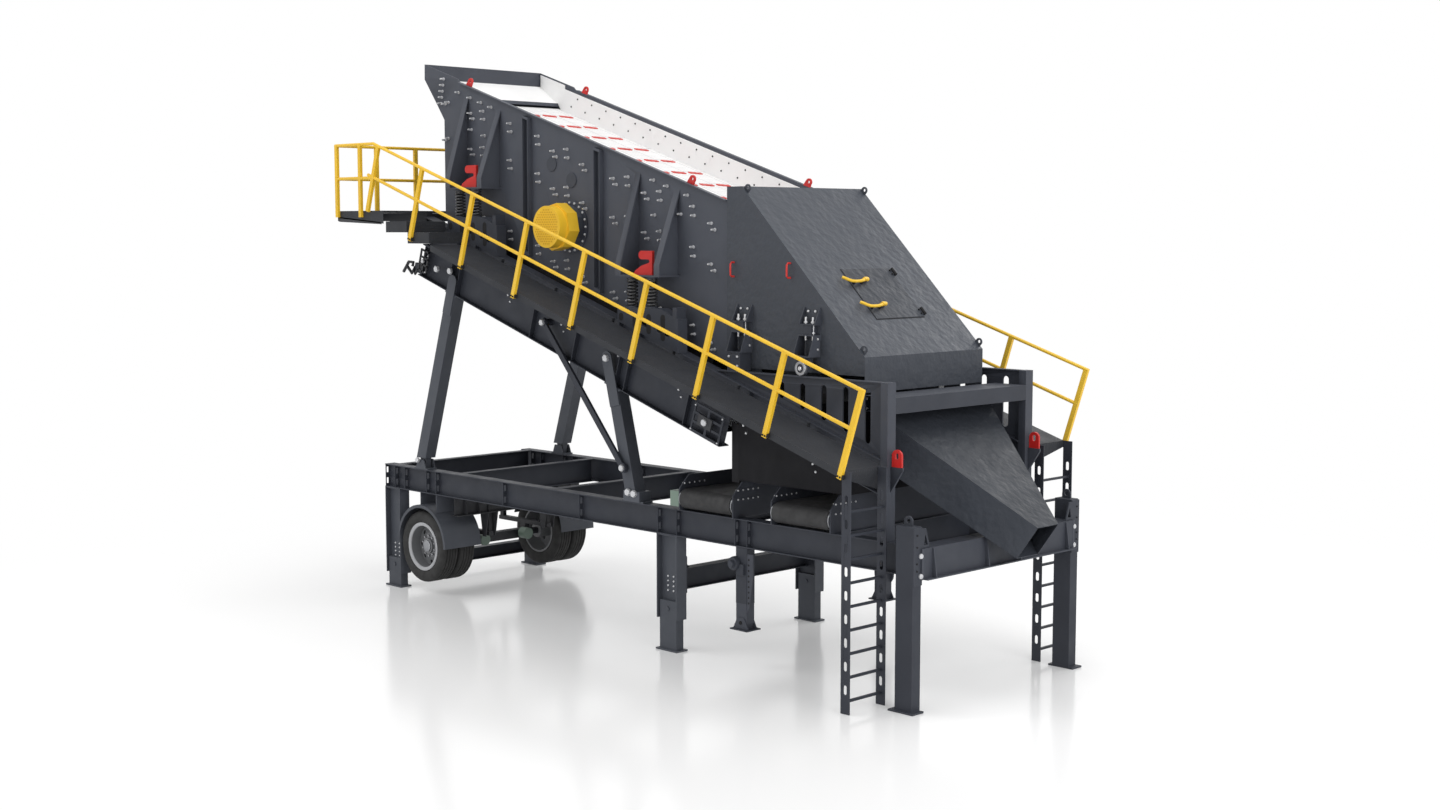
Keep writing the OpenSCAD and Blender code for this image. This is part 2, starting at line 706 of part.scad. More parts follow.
module lifting_lugs() {
  color("#c8201e") placed() both() {
    inclined() for (s = [700, 5350]) across(-screen_half, -screen_half + 24)
      translate([s, side_n1]) rotate(-slope_deg) difference() {
        union() {
          polygon([[0, 0], [120 * cos(slope_deg), 120 * sin(slope_deg)], [100, 95], [10, 95]]);
          translate([58, 85]) circle(r = 48);
        }
        translate([58, 85]) circle(r = 20);
      }
    across(-gauge_half - 13, -gauge_half + 13) translate([post_x1 + 12, lug_z]) lug2d();
  }
}

// Hood over the discharge end
module on_hood_slope() { translate([hood_x1, 0, hood_top]) rotate([0, 45, 0]) children(); }
module eye2d() {
  difference() {
    union() {
      square([90, 40]);
      translate([45, 40]) circle(r = 45);
    }
    translate([45, 45]) circle(r = 20);
  }
}
module hood_outline(t, over) {
  polygon([[hood_x0 - over, hood_top - t], [hood_x1 - 0.414 * t, hood_top - t],
           [hood_x2 - t, hood_top - hood_run - 0.414 * t], [hood_x2 - t, hood_bot - over],
           [hood_x0 - over, hood_bot - over]]);
}
module discharge_hood() {
  run = hood_run * sqrt(2);
  color("#4a525c") placed() {
    difference() {
      across(-hood_half, hood_half) hood_outline(0, 0);
      across(-hood_half + sheet_t, hood_half - sheet_t) hood_outline(sheet_t, 10);
      on_hood_slope() translate([1425, -hatch_w / 2 + 55, -50]) cube([hatch_l - 80, hatch_w - 80, 100]);
    }
    translate([hood_x2 - sheet_t + 1, -hood_half + 3, beam_z1 + 10])
      cube([sheet_t - 2, 2 * hood_half - 6, hood_bot - beam_z1 + 10]);
    both() for (t = [20, run - 130])
      on_hood_slope() across(-hood_half + 20, -hood_half + 36) translate([t, -3]) eye2d();
  }
}
module hood_hatch() {
  color("#4a525c") placed() on_hood_slope() {
    translate([1385, -hatch_w / 2 + 15, 0]) cube([hatch_l, hatch_w, 8]);
    for (t = [1460, 1385 + hatch_l - 75])
      translate([t - 45, hatch_w / 2 + 10, 0]) cube([90, 60, 14]);
  }
}
module hatch_handles() {
  y0 = -hatch_w / 2 + 25;
  color("#f2b705") placed() on_hood_slope() for (t = [1500, 1900]) {
    for (y = [y0 + 15, 0]) translate([t, y, 8]) cylinder(r = 14, h = 74);
    translate([t, y0, 70]) rotate([-90, 0, 0]) cylinder(r = 14, h = 15 - y0);
  }
}
module hood_handles() {
  color("#c8201e") placed() both() for (x = [hood_x0 + 119, hood_x0 + 1040]) {
    for (z = [hood_top - 1070, hood_top - 900])
      translate([x, -hood_half, z]) rotate([90, 0, 0]) cylinder(r = 13, h = 70);
    translate([x, -hood_half - 62, hood_top - 1083]) cylinder(r = 13, h = 196);
  }
}
// Pair of tapered cheeks standing off the face y0, to y_top above and y_foot below
module cheeks(x, w, z0, z1, y0, y_top, y_foot) {
  for (e = [0, w - 12]) lengthwise(x + e, x + e + 12)
    polygon([[y0, z0], [y0, z1], [y_top, z1], [y_foot, z0]]);
}
// Link between the hood and the side plate: upper and lower cheeks, two rods and a buffer
module hood_link(x) {
  w = 250;
  y = -hood_half;
  top = frame_top + 780;
  mid = frame_top + 590;
  low = frame_top + 465;
  foot = frame_top + 225;
  cheeks(x, w, mid, top, y, y - 15, y - 110);
  translate([x, y - 110, mid - 12]) cube([w, 110, 13]);
  translate([x, y - 14, low - 60]) cube([w, 14, mid - low + 60]);
  translate([x + 60, y - 100, low - 1]) cube([w - 120, 88, mid - low]);
  for (e = [70, w - 70]) translate([x + e, y - 60, low - 60]) cylinder(r = 11, h = mid - low + 130);
  translate([x, y - 120, low - 12]) cube([w, 110, 13]);
  cheeks(x, w, foot, low, y - 14, y - 115, y - 205);
  translate([x, y - 205, foot - 12]) cube([w, 195, 13]);
}
module hood_brackets() {
  color("#59616b") placed() both() {
    x0 = hood_x0 + 185;
    x1 = hood_x0 + 1275;
    hood_link(x0);
    translate([x0 + 20, -gauge_half - 10, frame_top]) cube([210, gauge_half - hood_half, 215]);
    hood_link(x1);
    for (e = [60, 178]) translate([x1 + e, -gauge_half - 15, frame_top + 60]) cube([12, 130, 155]);
    translate([x1 + 125, -gauge_half + 24, frame_top + 86]) rotate([90, 0, 0]) cylinder(r = 86, h = 48);
    translate([x1 + 55, -gauge_half, frame_top + 86]) rotate([0, 90, 0]) cylinder(r = 18, h = 140);
  }
}

// Discharge end
module slotted_frames() {
  plate_n = chord_n + seat_gap;
  tip_x = (slope_z - frame_top) / tan(slope_deg) + plate_n / sin(slope_deg);
  cap_in = flange_t / tan(slope_deg);
  color("#3f4650") placed() both() {
    across(-gauge_half - 10, -gauge_half + 10) difference() {
      polygon([[tip_x, frame_top], [post_x0 + 10, frame_top], [post_x0 + 10, wz(post_x0, plate_n)],
               [post_x0, wz(post_x0, plate_n)]]);
      for (k = [0:4]) {
        x = post_x0 - 238 - k * slot_pitch;
        translate([x, 0]) slot2d(slot_w, wz(x, chord_n) + 70, frame_top - 85);
      }
    }
    translate([tip_x + cap_in, -gauge_half - 40, frame_top - flange_t])
      cube([post_x0 + 10 - tip_x - cap_in, 80, flange_t]);
    across(-gauge_half - 13, -gauge_half + 13)
      polygon([[post_x1 - 2, lug_z], [post_x1 + 170, lug_z], [post_x1 + 170, lug_z - 35],
               [post_x1 - 2, lug_z - 290]]);
    translate([post_x0, -gauge_half - 70, chassis_top]) cube([post_w, 140, frame_top - chassis_top]);
  }
}
module discharge_cross_beam() {
  half = gauge_half - 70;
  color("#3f4650") placed() difference() {
    translate([post_x1 - 450, -half, beam_z0]) cube([450, 2 * half, beam_z1 - beam_z0]);
    translate([post_x1 - 442, -half - 1, beam_z0 + 8]) cube([434, 2 * half + 2, beam_z1 - beam_z0 - 16]);
  }
}
// Corners of the tapered duct, four at the inlet under the cross beam and four at the mouth
function duct(t) = [
  [chute_x0, -inlet_half + t, inlet_z0 + t], [chute_x0, inlet_half - t, inlet_z0 + t],
  [chute_x0, inlet_half - t, inlet_z1 - t], [chute_x0, -inlet_half + t, inlet_z1 - t],
  [chute_x1 - mouth_run, -chute_half + t, chute_z1 - mouth_h + t],
  [chute_x1 - mouth_run, chute_half - t, chute_z1 - mouth_h + t],
  [chute_x1, chute_half - t, chute_z1 - t], [chute_x1, -chute_half + t, chute_z1 - t]];
// One sheet of the duct between its outer corners a, b, c, d and the same inner corners
module duct_sheet(a, b, c, d) {
  outer = duct(0);
  inner = duct(sheet_t);
  polyhedron(
    [outer[a], outer[b], outer[c], outer[d], inner[a], inner[b], inner[c], inner[d]],
    [[0, 1, 2], [0, 2, 3], [6, 5, 4], [7, 6, 4], [1, 0, 4], [1, 4, 5], [2, 1, 5], [2, 5, 6],
     [3, 2, 6], [3, 6, 7], [0, 3, 7], [0, 7, 4]]);
}
module chute_inlet_frame() {
  color("#4a525c") placed() difference() {
    translate([chute_x0 - 12, -inlet_half - 10, inlet_z0 - 20])
      cube([12, 2 * inlet_half + 20, inlet_z1 - inlet_z0 + 32]);
    translate([chute_x0 - 20, -inlet_half + 20, inlet_z0 + 20])
      cube([30, 2 * inlet_half - 40, inlet_z1 - inlet_z0 - 38]);
  }
}
module chute_roof() { color("#4a525c") placed() duct_sheet(7, 3, 2, 6); }
module chute_floor() { color("#4a525c") placed() duct_sheet(5, 1, 0, 4); }
// Side sheets, each folded along the diagonal from the inlet's top corner to the mouth's bottom corner
module chute_sides() { color("#4a525c") placed() both() duct_sheet(3, 7, 4, 0); }
module conveyor_frames() {
  color("#3f4650") placed() for (x = [belt_1_x, belt_2_x], e = [-20 - frame_t, belt_w + 20])
    translate([x + e, 0, 0]) lengthwise(0, frame_t)
      polygon([[-1400, chassis_top], [1400, chassis_top], [1400, conveyor_top - 160], [1240, conveyor_top],
               [-1240, conveyor_top], [-1400, conveyor_top - 160]]);
}
module gear_motor() {
  color("#8fb29a") placed() {
    translate([belt_1_x - 20 - frame_t - 150, -1400, drum_z - 100]) cube([150, 190, 190]);
    translate([belt_1_x - 20 - frame_t - 90, -1220, drum_z]) rotate([-90, 0, 0]) cylinder(r = 75, h = 260);
  }
}
module transfer_hopper() {
  x0 = hopper_x0;
  x1 = hopper_x1;
  color("#3f4650") placed() {
    both() across(-beam_in - 12, -beam_in - 12 + sheet_t)
      polygon([[x0, conveyor_top], [x1, conveyor_top], [x1, wz(x1, girder_h)], [x0, wz(x0, girder_h)]]);
    for (x = [x0, x1 - sheet_t])
      translate([x, -beam_in - 10, conveyor_top])
        cube([sheet_t, 2 * beam_in + 20, wz(x + sheet_t, girder_h) - conveyor_top - 3]);
  }
}

// Walkways, platform, rails and ladders
module walkways() {
  color("#4a525c") placed() both() difference() {
    inclined() {
      translate([1500, -walk_half, walk_n - 30]) cube([9000, walk_half - walk_in, 30]);
      translate([1500, -walk_half, walk_n - 80]) cube([9000, 8, 80]);
      for (k = [1:7]) translate([1400 + k * post_pitch, 0, 0]) lengthwise(-6, 6)
        polygon([[-beam_out, chord_n], [-walk_in - 2, chord_n], [-walk_in - 2, walk_n - 20],
                 [-walk_half + 4, walk_n - 20], [-walk_half + 4, walk_n - 80], [-beam_out, chord_n - 320]]);
    }
    translate([-1000, -3000, 3000]) cube([1000 + walk_x0, 3000, 4000]);
    translate([walk_x1, -3000, 1000]) cube([3000, 3000, 4000]);
  }
}
module feed_platform() {
  color("#4a525c") placed() {
    translate([platform_x0, -walk_half, platform_z - 30])
      cube([chord_x0 - platform_x0, 2 * walk_half, 30]);
    both() {
      across(-walk_half, -walk_half + 8)
        polygon([[platform_x0, platform_z - 20], [chord_x0, platform_z - 20], [chord_x0, platform_z - 180],
                 [platform_x0, platform_z - 100]]);
      across(-gauge_half - 50, -gauge_half + 50)
        polygon([[platform_x0, platform_z - 20], [chord_x0, platform_z - 20], [chord_x0, platform_z - 240],
                 [platform_x0, platform_z - 120]]);
    }
    translate([platform_x0, -walk_half, platform_z - 100]) cube([8, 2 * walk_half, 90]);
  }
}
module steps() {
  color("#4a525c") placed() both() for (k = [0, 1])
    translate([chord_x0 + 60 + k * 510, -walk_half, platform_z - 300 - k * 150]) {
      difference() {
        cube([490, walk_half - step_in, 150]);
        translate([10, 8, -10]) cube([470, walk_half - step_in - 16, 150]);
      }
      if (k == 0) translate([200, walk_half - step_in - 5, 0]) cube([100, step_in - beam_out + 5, 140]);
    }
}
// One side's rail: level along the platform, then down the slope from the bend
module side_rail() {
  s0 = 1400;
  post_z = walk_n - 80;
  bend_x = (rail_n - level_rail * cos(slope_deg)) / sin(slope_deg);
  color("#f2b705") placed() translate([0, -walk_half, 0]) {
    inclined() {
      for (k = [0:7]) translate([s0 + k * post_pitch - 32, -40, post_z]) cube([64, 40, rail_n - post_z]);
      translate([298, -40, walk_n]) cube([64, 40, rail_n - walk_n]);
      for (n = [rail_n, rail_n - rail_gap]) translate([along(bend_x, rail_n), -20, n]) rotate([0, 90, 0])
        cylinder(r = rail_r, h = s0 - along(bend_x, rail_n) + 7 * post_pitch + 32);
    }
    for (x = [platform_x0, 360])
      translate([x, -40, platform_z - 90]) cube([60, 40, slope_z + level_rail - platform_z + 90]);
    for (z = [level_rail, level_rail - rail_gap / cos(slope_deg)])
      translate([platform_x0, -20, slope_z + z]) rotate([0, 90, 0])
        cylinder(r = rail_r, h = bend_x - platform_x0 + 4);
  }
}
module near_handrail() { side_rail(); }
module far_handrail() { mirror([0, 1, 0]) side_rail(); }
module platform_back_rail() {
  color("#f2b705") placed() {
    for (k = [-2:2])
      translate([platform_x0 - 40, k * walk_half / 3 - 30, platform_z - 90])
        cube([40, 60, slope_z + level_rail - platform_z + 90]);
    for (z = [level_rail, level_rail - rail_gap / cos(slope_deg)])
      translate([platform_x0 - 20, walk_half - 10, slope_z + z])
        rotate([90, 0, 0]) cylinder(r = rail_r, h = 2 * walk_half - 20);
  }
}
// Stringer plate with a slot between each two rungs
module stringer(top, rungs) {
  across(0, 12) difference() {
    square([stringer_w, top]);
    for (k = [0:rungs - 1]) translate([stringer_w / 2, rung_z + k * rung_pitch]) slot2d(46, 90, 195);
  }
}
module ladders() {
  top = wz(walk_x1, walk_n);
  rungs = floor((top - 160) / rung_pitch);
  color("#3f4650") placed() both() {
    for (y = [-walk_half, -walk_in - 62]) translate([walk_x1, y, 0]) stringer(top, rungs);
    for (k = [0:rungs - 1])
      translate([walk_x1 + stringer_w / 2 - 20, -walk_half + 5, rung_z + k * rung_pitch])
        cube([40, walk_half - walk_in - 60, 26]);
  }
}

chassis_beams();
chassis_cross_beams();
front_cross_beam();
support_legs();
leg_tie_beams();
front_columns();
landing_jacks();
axle();
suspension();
brake_chambers();
fenders();
near_rims();
near_tyres();
far_rims();
far_tyres();
slope_girders();
slope_ties();
slope_chords();
rear_props();
front_props();
diagonal_struts();
belt_scraper();
belts();
belt_drums();
side_plates();
feed_back_plate();
feed_apron();
screen_deck();
side_liners();
deck_tubes();
drive_guards();
spring_hooks();
coil_springs();
spring_pedestals();
lifting_lugs();
discharge_hood();
hood_hatch();
hatch_handles();
hood_handles();
hood_brackets();
slotted_frames();
discharge_cross_beam();
chute_inlet_frame();
chute_roof();
chute_floor();
chute_sides();
conveyor_frames();
gear_motor();
transfer_hopper();
walkways();
feed_platform();
steps();
near_handrail();
far_handrail();
platform_back_rail();
ladders();
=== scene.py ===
import json
import math

import bmesh
import bpy
from mathutils import Matrix, Vector


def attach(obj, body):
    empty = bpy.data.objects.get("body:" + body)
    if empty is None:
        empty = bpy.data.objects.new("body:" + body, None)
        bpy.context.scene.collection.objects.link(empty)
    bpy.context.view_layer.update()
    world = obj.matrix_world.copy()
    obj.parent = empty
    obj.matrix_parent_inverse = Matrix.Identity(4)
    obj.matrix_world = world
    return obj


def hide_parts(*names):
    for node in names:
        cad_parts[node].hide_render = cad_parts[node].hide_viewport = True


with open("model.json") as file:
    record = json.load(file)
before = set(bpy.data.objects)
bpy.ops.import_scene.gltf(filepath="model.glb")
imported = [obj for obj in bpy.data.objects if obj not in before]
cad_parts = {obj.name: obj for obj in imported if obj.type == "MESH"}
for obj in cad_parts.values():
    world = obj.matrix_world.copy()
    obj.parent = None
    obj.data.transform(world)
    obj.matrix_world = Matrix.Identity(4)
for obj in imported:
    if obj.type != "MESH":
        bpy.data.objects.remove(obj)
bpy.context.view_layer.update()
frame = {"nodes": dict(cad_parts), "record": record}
nodes = frame["nodes"]

# Layout in metres: x runs from the rear legs to the chute, and the near side has negative y.
# SLOPE has s down the screen and n off it. HOOD has t down the hood's slope and n off it.
OX = 5.164
TILT = math.radians(17.8)
Z0 = 4.81
HOOD_TOP = (6.905, 5.73)
WORLD = Matrix.Translation((-OX, 0, 0))
SLOPE = Matrix.Translation((-OX, 0, Z0)) @ Matrix.Rotation(TILT, 4, "Y")
HOOD = Matrix.Translation((HOOD_TOP[0] - OX, 0, HOOD_TOP[1])) @ Matrix.Rotation(math.pi / 4, 4, "Y")

# Sizes that more than one piece uses
SIDES = (-1, 1)
PANEL_L = 0.57
PANEL_W = 0.31
STATIONS = (1.88, 5.41)
POST_PITCH = 1.17
SEAT_N = 1.125
GIRDER_FACE = 1.274
FRAME_TOP = Z0 - 1.26
WHEEL = (0.706, 1.058, 0.672)
DRIVE = (3.742, 5.253)


def plane_z(x, n):
    """Height of the slope plane n at the place x."""
    return Z0 + (n - x * math.sin(TILT)) / math.cos(TILT)


class Batch:
    """Many small shapes gathered into one mesh."""

    def __init__(self):
        self.verts = []
        self.faces = []

    def add(self, verts, faces):
        """Take in points, and faces that number them from 0."""
        k = len(self.verts)
        self.verts += [tuple(v) for v in verts]
        self.faces += [[i + k for i in f] for f in faces]

    def box(self, place, lo, hi):
        """Block between two corners."""
        xs, ys, zs = zip(lo, hi)
        verts = [place @ Vector((x, y, z)) for x in xs for y in ys for z in zs]
        self.add(verts, [(0, 1, 3, 2), (4, 6, 7, 5), (0, 4, 5, 1), (2, 3, 7, 6), (0, 2, 6, 4), (1, 5, 7, 3)])

    def plate(self, place, outline, y0, y1):
        """Flat piece cut to an (x, z) outline, from y0 to y1."""
        n = len(outline)
        verts = [place @ Vector((x, y, z)) for y in (y0, y1) for x, z in outline]
        faces = [tuple(range(n)), tuple(reversed(range(n, 2 * n)))]
        faces += [(k + n, (k + 1) % n + n, (k + 1) % n, k) for k in range(n)]
        self.add(verts, faces)

    def stud(self, place, at, axis, r, h, sides=12, dome=0.7):
        """Short round or hexagonal head that stands on at and points along axis."""
        axis = Vector(axis).normalized()
        side = axis.orthogonal().normalized()
        other = axis.cross(side)
        rings = [(r, 0), (r, h * 0.7), (r * dome, h)]
        verts = []
        for radius, up in rings:
            for k in range(sides):
                a = 2 * math.pi * k / sides
                p = Vector(at) + axis * up + (side * math.cos(a) + other * math.sin(a)) * radius
                verts.append(place @ p)
        faces = []
        for j in range(len(rings) - 1):
            for k in range(sides):
                m = (k + 1) % sides
                faces.append((j * sides + k, j * sides + m, (j + 1) * sides + m, (j + 1) * sides + k))
        faces.append(tuple(range(2 * sides, 3 * sides)))
        faces.append(tuple(reversed(range(sides))))
        self.add(verts, faces)

    def tube(self, place, points, r, sides=10):
        """Round bar along a line of points."""
        pts = [Vector(p) for p in points]
        verts = []
        for i, p in enumerate(pts):
            d = (pts[min(i + 1, len(pts) - 1)] - pts[max(i - 1, 0)]).normalized()
            ref = Vector((0, 0, 1)) if abs(d.z) < 0.9 else Vector((1, 0, 0))
            side = d.cross(ref).normalized()
            other = side.cross(d)
            for k in range(sides):
                a = 2 * math.pi * k / sides
                verts.append(place @ (p + (side * math.cos(a) + other * math.sin(a)) * r))
        faces = []
        for i in range(len(pts) - 1):
            for k in range(sides):
                m = (k + 1) % sides
                faces.append((i * sides + k, i * sides + m, (i + 1) * sides + m, (i + 1) * sides + k))
        faces.append(tuple(reversed(range(sides))))
        faces.append(tuple(range((len(pts) - 1) * sides, len(pts) * sides)))
        self.add(verts, faces)

    def lathe(self, place, profile, sides=72):
        """Closed ring about the local Y axis, profile is (radius, y)."""
        n = len(profile)
        verts = []
        for k in range(sides):
            a = 2 * math.pi * k / sides
            verts += [place @ Vector((r * math.cos(a), y, r * math.sin(a))) for r, y in profile]
        faces = []
        for k in range(sides):
            m = (k + 1) % sides
            for j in range(n):
                q = (j + 1) % n
                faces.append((k * n + j, k * n + q, m * n + q, m * n + j))
        self.add(verts, faces)

    def make(self, name, look, body="root", angle=35):
        """Turn what was gathered into one piece that rides on a body."""
        mesh = bpy.data.meshes.new(name)
        mesh.from_pydata(self.verts, [], self.faces)
        mesh.validate()
        shell = bmesh.new()
        shell.from_mesh(mesh)
        bmesh.ops.recalc_face_normals(shell, faces=shell.faces)
        shell.to_mesh(mesh)
        shell.free()
        fix = bpy.data.objects.new(name, mesh)
        bpy.context.scene.collection.objects.link(fix)
        smooth(mesh, angle)
        mesh.materials.append(look)
        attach(fix, body)
        return fix


def capsule(x, z0, z1, width, steps=6):
    """Upright slot outline with round ends."""
    r = width / 2
    turn = [math.pi * k / steps for k in range(steps + 1)]
    top = [(x + r * math.cos(a), z1 - r + r * math.sin(a)) for a in turn]
    return top + [(x - r * math.cos(a), z0 + r - r * math.sin(a)) for a in turn]


def smooth(mesh, angle):
    """Smooth shading, with edges sharper than the angle kept."""
    mesh.polygons.foreach_set("use_smooth", [True] * len(mesh.polygons))
    mesh.set_sharp_from_angle(angle=math.radians(angle))


# Materials
def shader(name):
    """New material, its node tree and its main shader."""
    look = bpy.data.materials.new(name)
    look.use_nodes = True
    tree = look.node_tree
    return look, tree, tree.nodes["Principled BSDF"]


def noise(tree, scale, detail, rough=0.5):
    """Noise from 0 to 1 over the object."""
    where = tree.nodes.new("ShaderNodeTexCoord")
    tex = tree.nodes.new("ShaderNodeTexNoise")
    tex.inputs["Scale"].default_value = scale
    tex.inputs["Detail"].default_value = detail
    tex.inputs["Roughness"].default_value = rough
    tree.links.new(where.outputs["Object"], tex.inputs["Vector"])
    return tex.outputs["Fac"]


def span(tree, value, lo, hi, a=0.3, b=0.7):
    """Value stretched from the range a to b onto lo to hi."""
    fit = tree.nodes.new("ShaderNodeMapRange")
    fit.inputs["From Min"].default_value = a
    fit.inputs["From Max"].default_value = b
    fit.inputs["To Min"].default_value = lo
    fit.inputs["To Max"].default_value = hi
    tree.links.new(value, fit.inputs["Value"])
    return fit.outputs["Result"]


def blend(tree, factor, a, b):
    """Mix of two colours, each a plain colour or a socket."""
    mix = tree.nodes.new("ShaderNodeMix")
    mix.data_type = "RGBA"
    tree.links.new(factor, mix.inputs["Factor"])
    for value, socket in ((a, mix.inputs[6]), (b, mix.inputs[7])):
        if isinstance(value, tuple):
            socket.default_value = (*value, 1)
        else:
            tree.links.new(value, socket)
    return mix.outputs[2]


def bump(tree, bsdf, layers):
    """Relief from layers of (height, strength, distance)."""
    last = None
    for height, strength, distance in layers:
        node = tree.nodes.new("ShaderNodeBump")
        node.inputs["Strength"].default_value = strength
        node.inputs["Distance"].default_value = distance
        tree.links.new(height, node.inputs["Height"])
        if last is not None:
            tree.links.new(last, node.inputs["Normal"])
        last = node.outputs["Normal"]
    tree.links.new(last, bsdf.inputs["Normal"])


def paint(name, rgb, rough=0.42, vary=0.12, dent=0.25, edge_light=None, metal=0.0, spec=0.5, ripple=0.0):
    """Painted metal: uneven tone and gloss, faint dents, orange peel, and edges painted lighter as a
    highlight.
    """
    look, tree, bsdf = shader(name)
    dark = tuple(c * (1 - vary) for c in rgb)
    light = tuple(min(1, c * (1 + vary)) for c in rgb)
    tone = blend(tree, span(tree, noise(tree, 1.7, 5), 0, 1), dark, light)
    # Pointiness mixes the edges towards a lighter colour: a painted highlight along the edges.
    geo = tree.nodes.new("ShaderNodeNewGeometry")
    edge = span(tree, geo.outputs["Pointiness"], 0, 0.55, 0.53, 0.62)
    edge_light = edge_light or tuple(min(1, c * 1.7 + 0.02) for c in rgb)
    tree.links.new(blend(tree, edge, tone, edge_light), bsdf.inputs["Base Color"])
    tree.links.new(span(tree, noise(tree, 5.0, 6), rough - 0.07, rough + 0.09), bsdf.inputs["Roughness"])
    bsdf.inputs["Metallic"].default_value = metal
    bsdf.inputs["Specular IOR Level"].default_value = spec
    layers = [(noise(tree, 3.2, 3), dent, 0.02), (noise(tree, 260, 2), 0.05, 0.002)]
    if ripple:
        layers.append((noise(tree, 11, 2, 0.4), ripple, 0.012))
    bump(tree, bsdf, layers)
    return look


def rubber(name, rgb, rough=0.7):
    """Dull rubber with dust and a fine grain."""
    look, tree, bsdf = shader(name)
    dusty = tuple(min(1, c * 1.6 + 0.006) for c in rgb)
    tree.links.new(blend(tree, span(tree, noise(tree, 6, 6), 0, 1), rgb, dusty), bsdf.inputs["Base Color"])
    tree.links.new(span(tree, noise(tree, 11, 4), rough - 0.1, rough + 0.1), bsdf.inputs["Roughness"])
    bump(tree, bsdf, [(noise(tree, 90, 4), 0.2, 0.003)])
    return look


def along_slope(tree):
    """Object place turned so that its X runs down the screen and its Y across it."""
    where = tree.nodes.new("ShaderNodeTexCoord")
    turn = tree.nodes.new("ShaderNodeMapping")
    turn.inputs["Rotation"].default_value = (0, -TILT, 0)
    tree.links.new(where.outputs["Object"], turn.inputs["Vector"])
    return turn.outputs["Vector"]


def bricks(tree, vector, width, height, mortar):
    """Straight grid of lines: 1 on a line, 0 between."""
    tex = tree.nodes.new("ShaderNodeTexBrick")
    tex.offset = 0.0
    tex.inputs["Scale"].default_value = 1.0
    tex.inputs["Brick Width"].default_value = width
    tex.inputs["Row Height"].default_value = height
    tex.inputs["Mortar Size"].default_value = mortar
    tex.inputs["Mortar Smooth"].default_value = 0.2
    tree.links.new(vector, tex.inputs["Vector"])
    return tex.outputs["Fac"]


def panel_white(name):
    """Cast screen panels: pale, faintly stained, with panel joints and fine slots across the slope."""
    look, tree, bsdf = shader(name)
    tone = blend(tree, span(tree, noise(tree, 2.5, 5), 0, 1), (0.87, 0.86, 0.855), (0.93, 0.93, 0.925))
    slots = bricks(tree, along_slope(tree), PANEL_L / 3, PANEL_W / 5, 0.006)
    joints = bricks(tree, along_slope(tree), PANEL_L, PANEL_W, 0.007)
    tone = blend(tree, span(tree, slots, 0, 0.35, 0, 1), tone, (0.4, 0.41, 0.42))
    tone = blend(tree, span(tree, joints, 0, 0.6, 0, 1), tone, (0.3, 0.3, 0.31))
    tree.links.new(tone, bsdf.inputs["Base Color"])
    tree.links.new(span(tree, noise(tree, 8, 3), 0.5, 0.65), bsdf.inputs["Roughness"])
    bump(tree, bsdf, [(noise(tree, 30, 3), 0.08, 0.003)])
    return look


def tread_plate(name, rgb):
    """Walkway sheet with a raised pattern, scuffed lighter on its high points."""
    look, tree, bsdf = shader(name)
    cells = tree.nodes.new("ShaderNodeTexVoronoi")
    cells.inputs["Scale"].default_value = 26
    cells.inputs["Randomness"].default_value = 0.35
    tree.links.new(along_slope(tree), cells.inputs["Vector"])
    high = span(tree, cells.outputs["Distance"], 1, 0, 0.1, 0.45)
    scuffed = tuple(c * 1.5 for c in rgb)
    tone = blend(tree, span(tree, noise(tree, 1.4, 6), 0, 1), rgb, tuple(c * 1.25 for c in rgb))
    tree.links.new(blend(tree, span(tree, high, 0, 0.5, 0, 1), tone, scuffed), bsdf.inputs["Base Color"])
    tree.links.new(span(tree, noise(tree, 4, 5), 0.5, 0.7), bsdf.inputs["Roughness"])
    bsdf.inputs["Specular IOR Level"].default_value = 0.3
    bump(tree, bsdf, [(high, 0.5, 0.004), (noise(tree, 120, 3), 0.1, 0.002)])
    return look


GRAPHITE = paint("graphite", (0.036, 0.04, 0.052), 0.52, 0.1, 0.12, spec=0.28)
BOX = paint("graphite_box", (0.045, 0.05, 0.064), 0.52, 0.1, 0.14, spec=0.28)
SHEET = paint("graphite_sheet", (0.036, 0.041, 0.052), 0.45, 0.12, 0.3, spec=0.24, ripple=1.0)
# Darker copy of the sheet paint for the chute roof: painted shade.
SHADED_ROOF = paint("graphite_roof_shaded", (0.026, 0.03, 0.038), 0.5, 0.12, 0.3, spec=0.2, ripple=1.0)
# Lighter copy of the frame paint for legs, props and fenders: painted light on the lower parts.
LEG = paint("graphite_leg_lit", (0.072, 0.079, 0.095), 0.5, 0.1, 0.12, spec=0.3)
LINER = paint("side_liner", (0.91, 0.91, 0.905), 0.55, 0.04, 0.03, (0.93, 0.93, 0.925))
TREAD = tread_plate("walkway_plate", (0.026, 0.028, 0.033))
# Near black for the transfer hopper: partly its own black plate, partly painted shade where it sits under
# the machine.
HOPPER_BLACK_AND_SHADE = paint("hopper_black_and_shade", (0.01, 0.01, 0.012), 0.72, 0.15, 0.1, spec=0.12)
BLACK = paint("running_black", (0.022, 0.023, 0.027), 0.5, 0.12, 0.1, spec=0.35)
RIM = paint("rim_grey", (0.2, 0.205, 0.215), 0.4, 0.1, 0.05)
FLANGE = paint("rim_flange", (0.42, 0.43, 0.45), 0.34, 0.08, 0.03, (0.6, 0.6, 0.62))
YELLOW = paint("safety_yellow", (0.92, 0.565, 0.03), 0.42, 0.06, 0.05, (0.94, 0.62, 0.08), spec=0.4)
RED = paint("lifting_red", (0.6, 0.02, 0.018), 0.38, 0.08, 0.05, (0.72, 0.07, 0.05), spec=0.4)
GREEN = paint("gear_green", (0.16, 0.22, 0.18), 0.48, 0.1, 0.06)
SPRING = paint("spring_black", (0.022, 0.022, 0.024), 0.28, 0.1, 0.02, (0.08, 0.08, 0.085), spec=0.6)
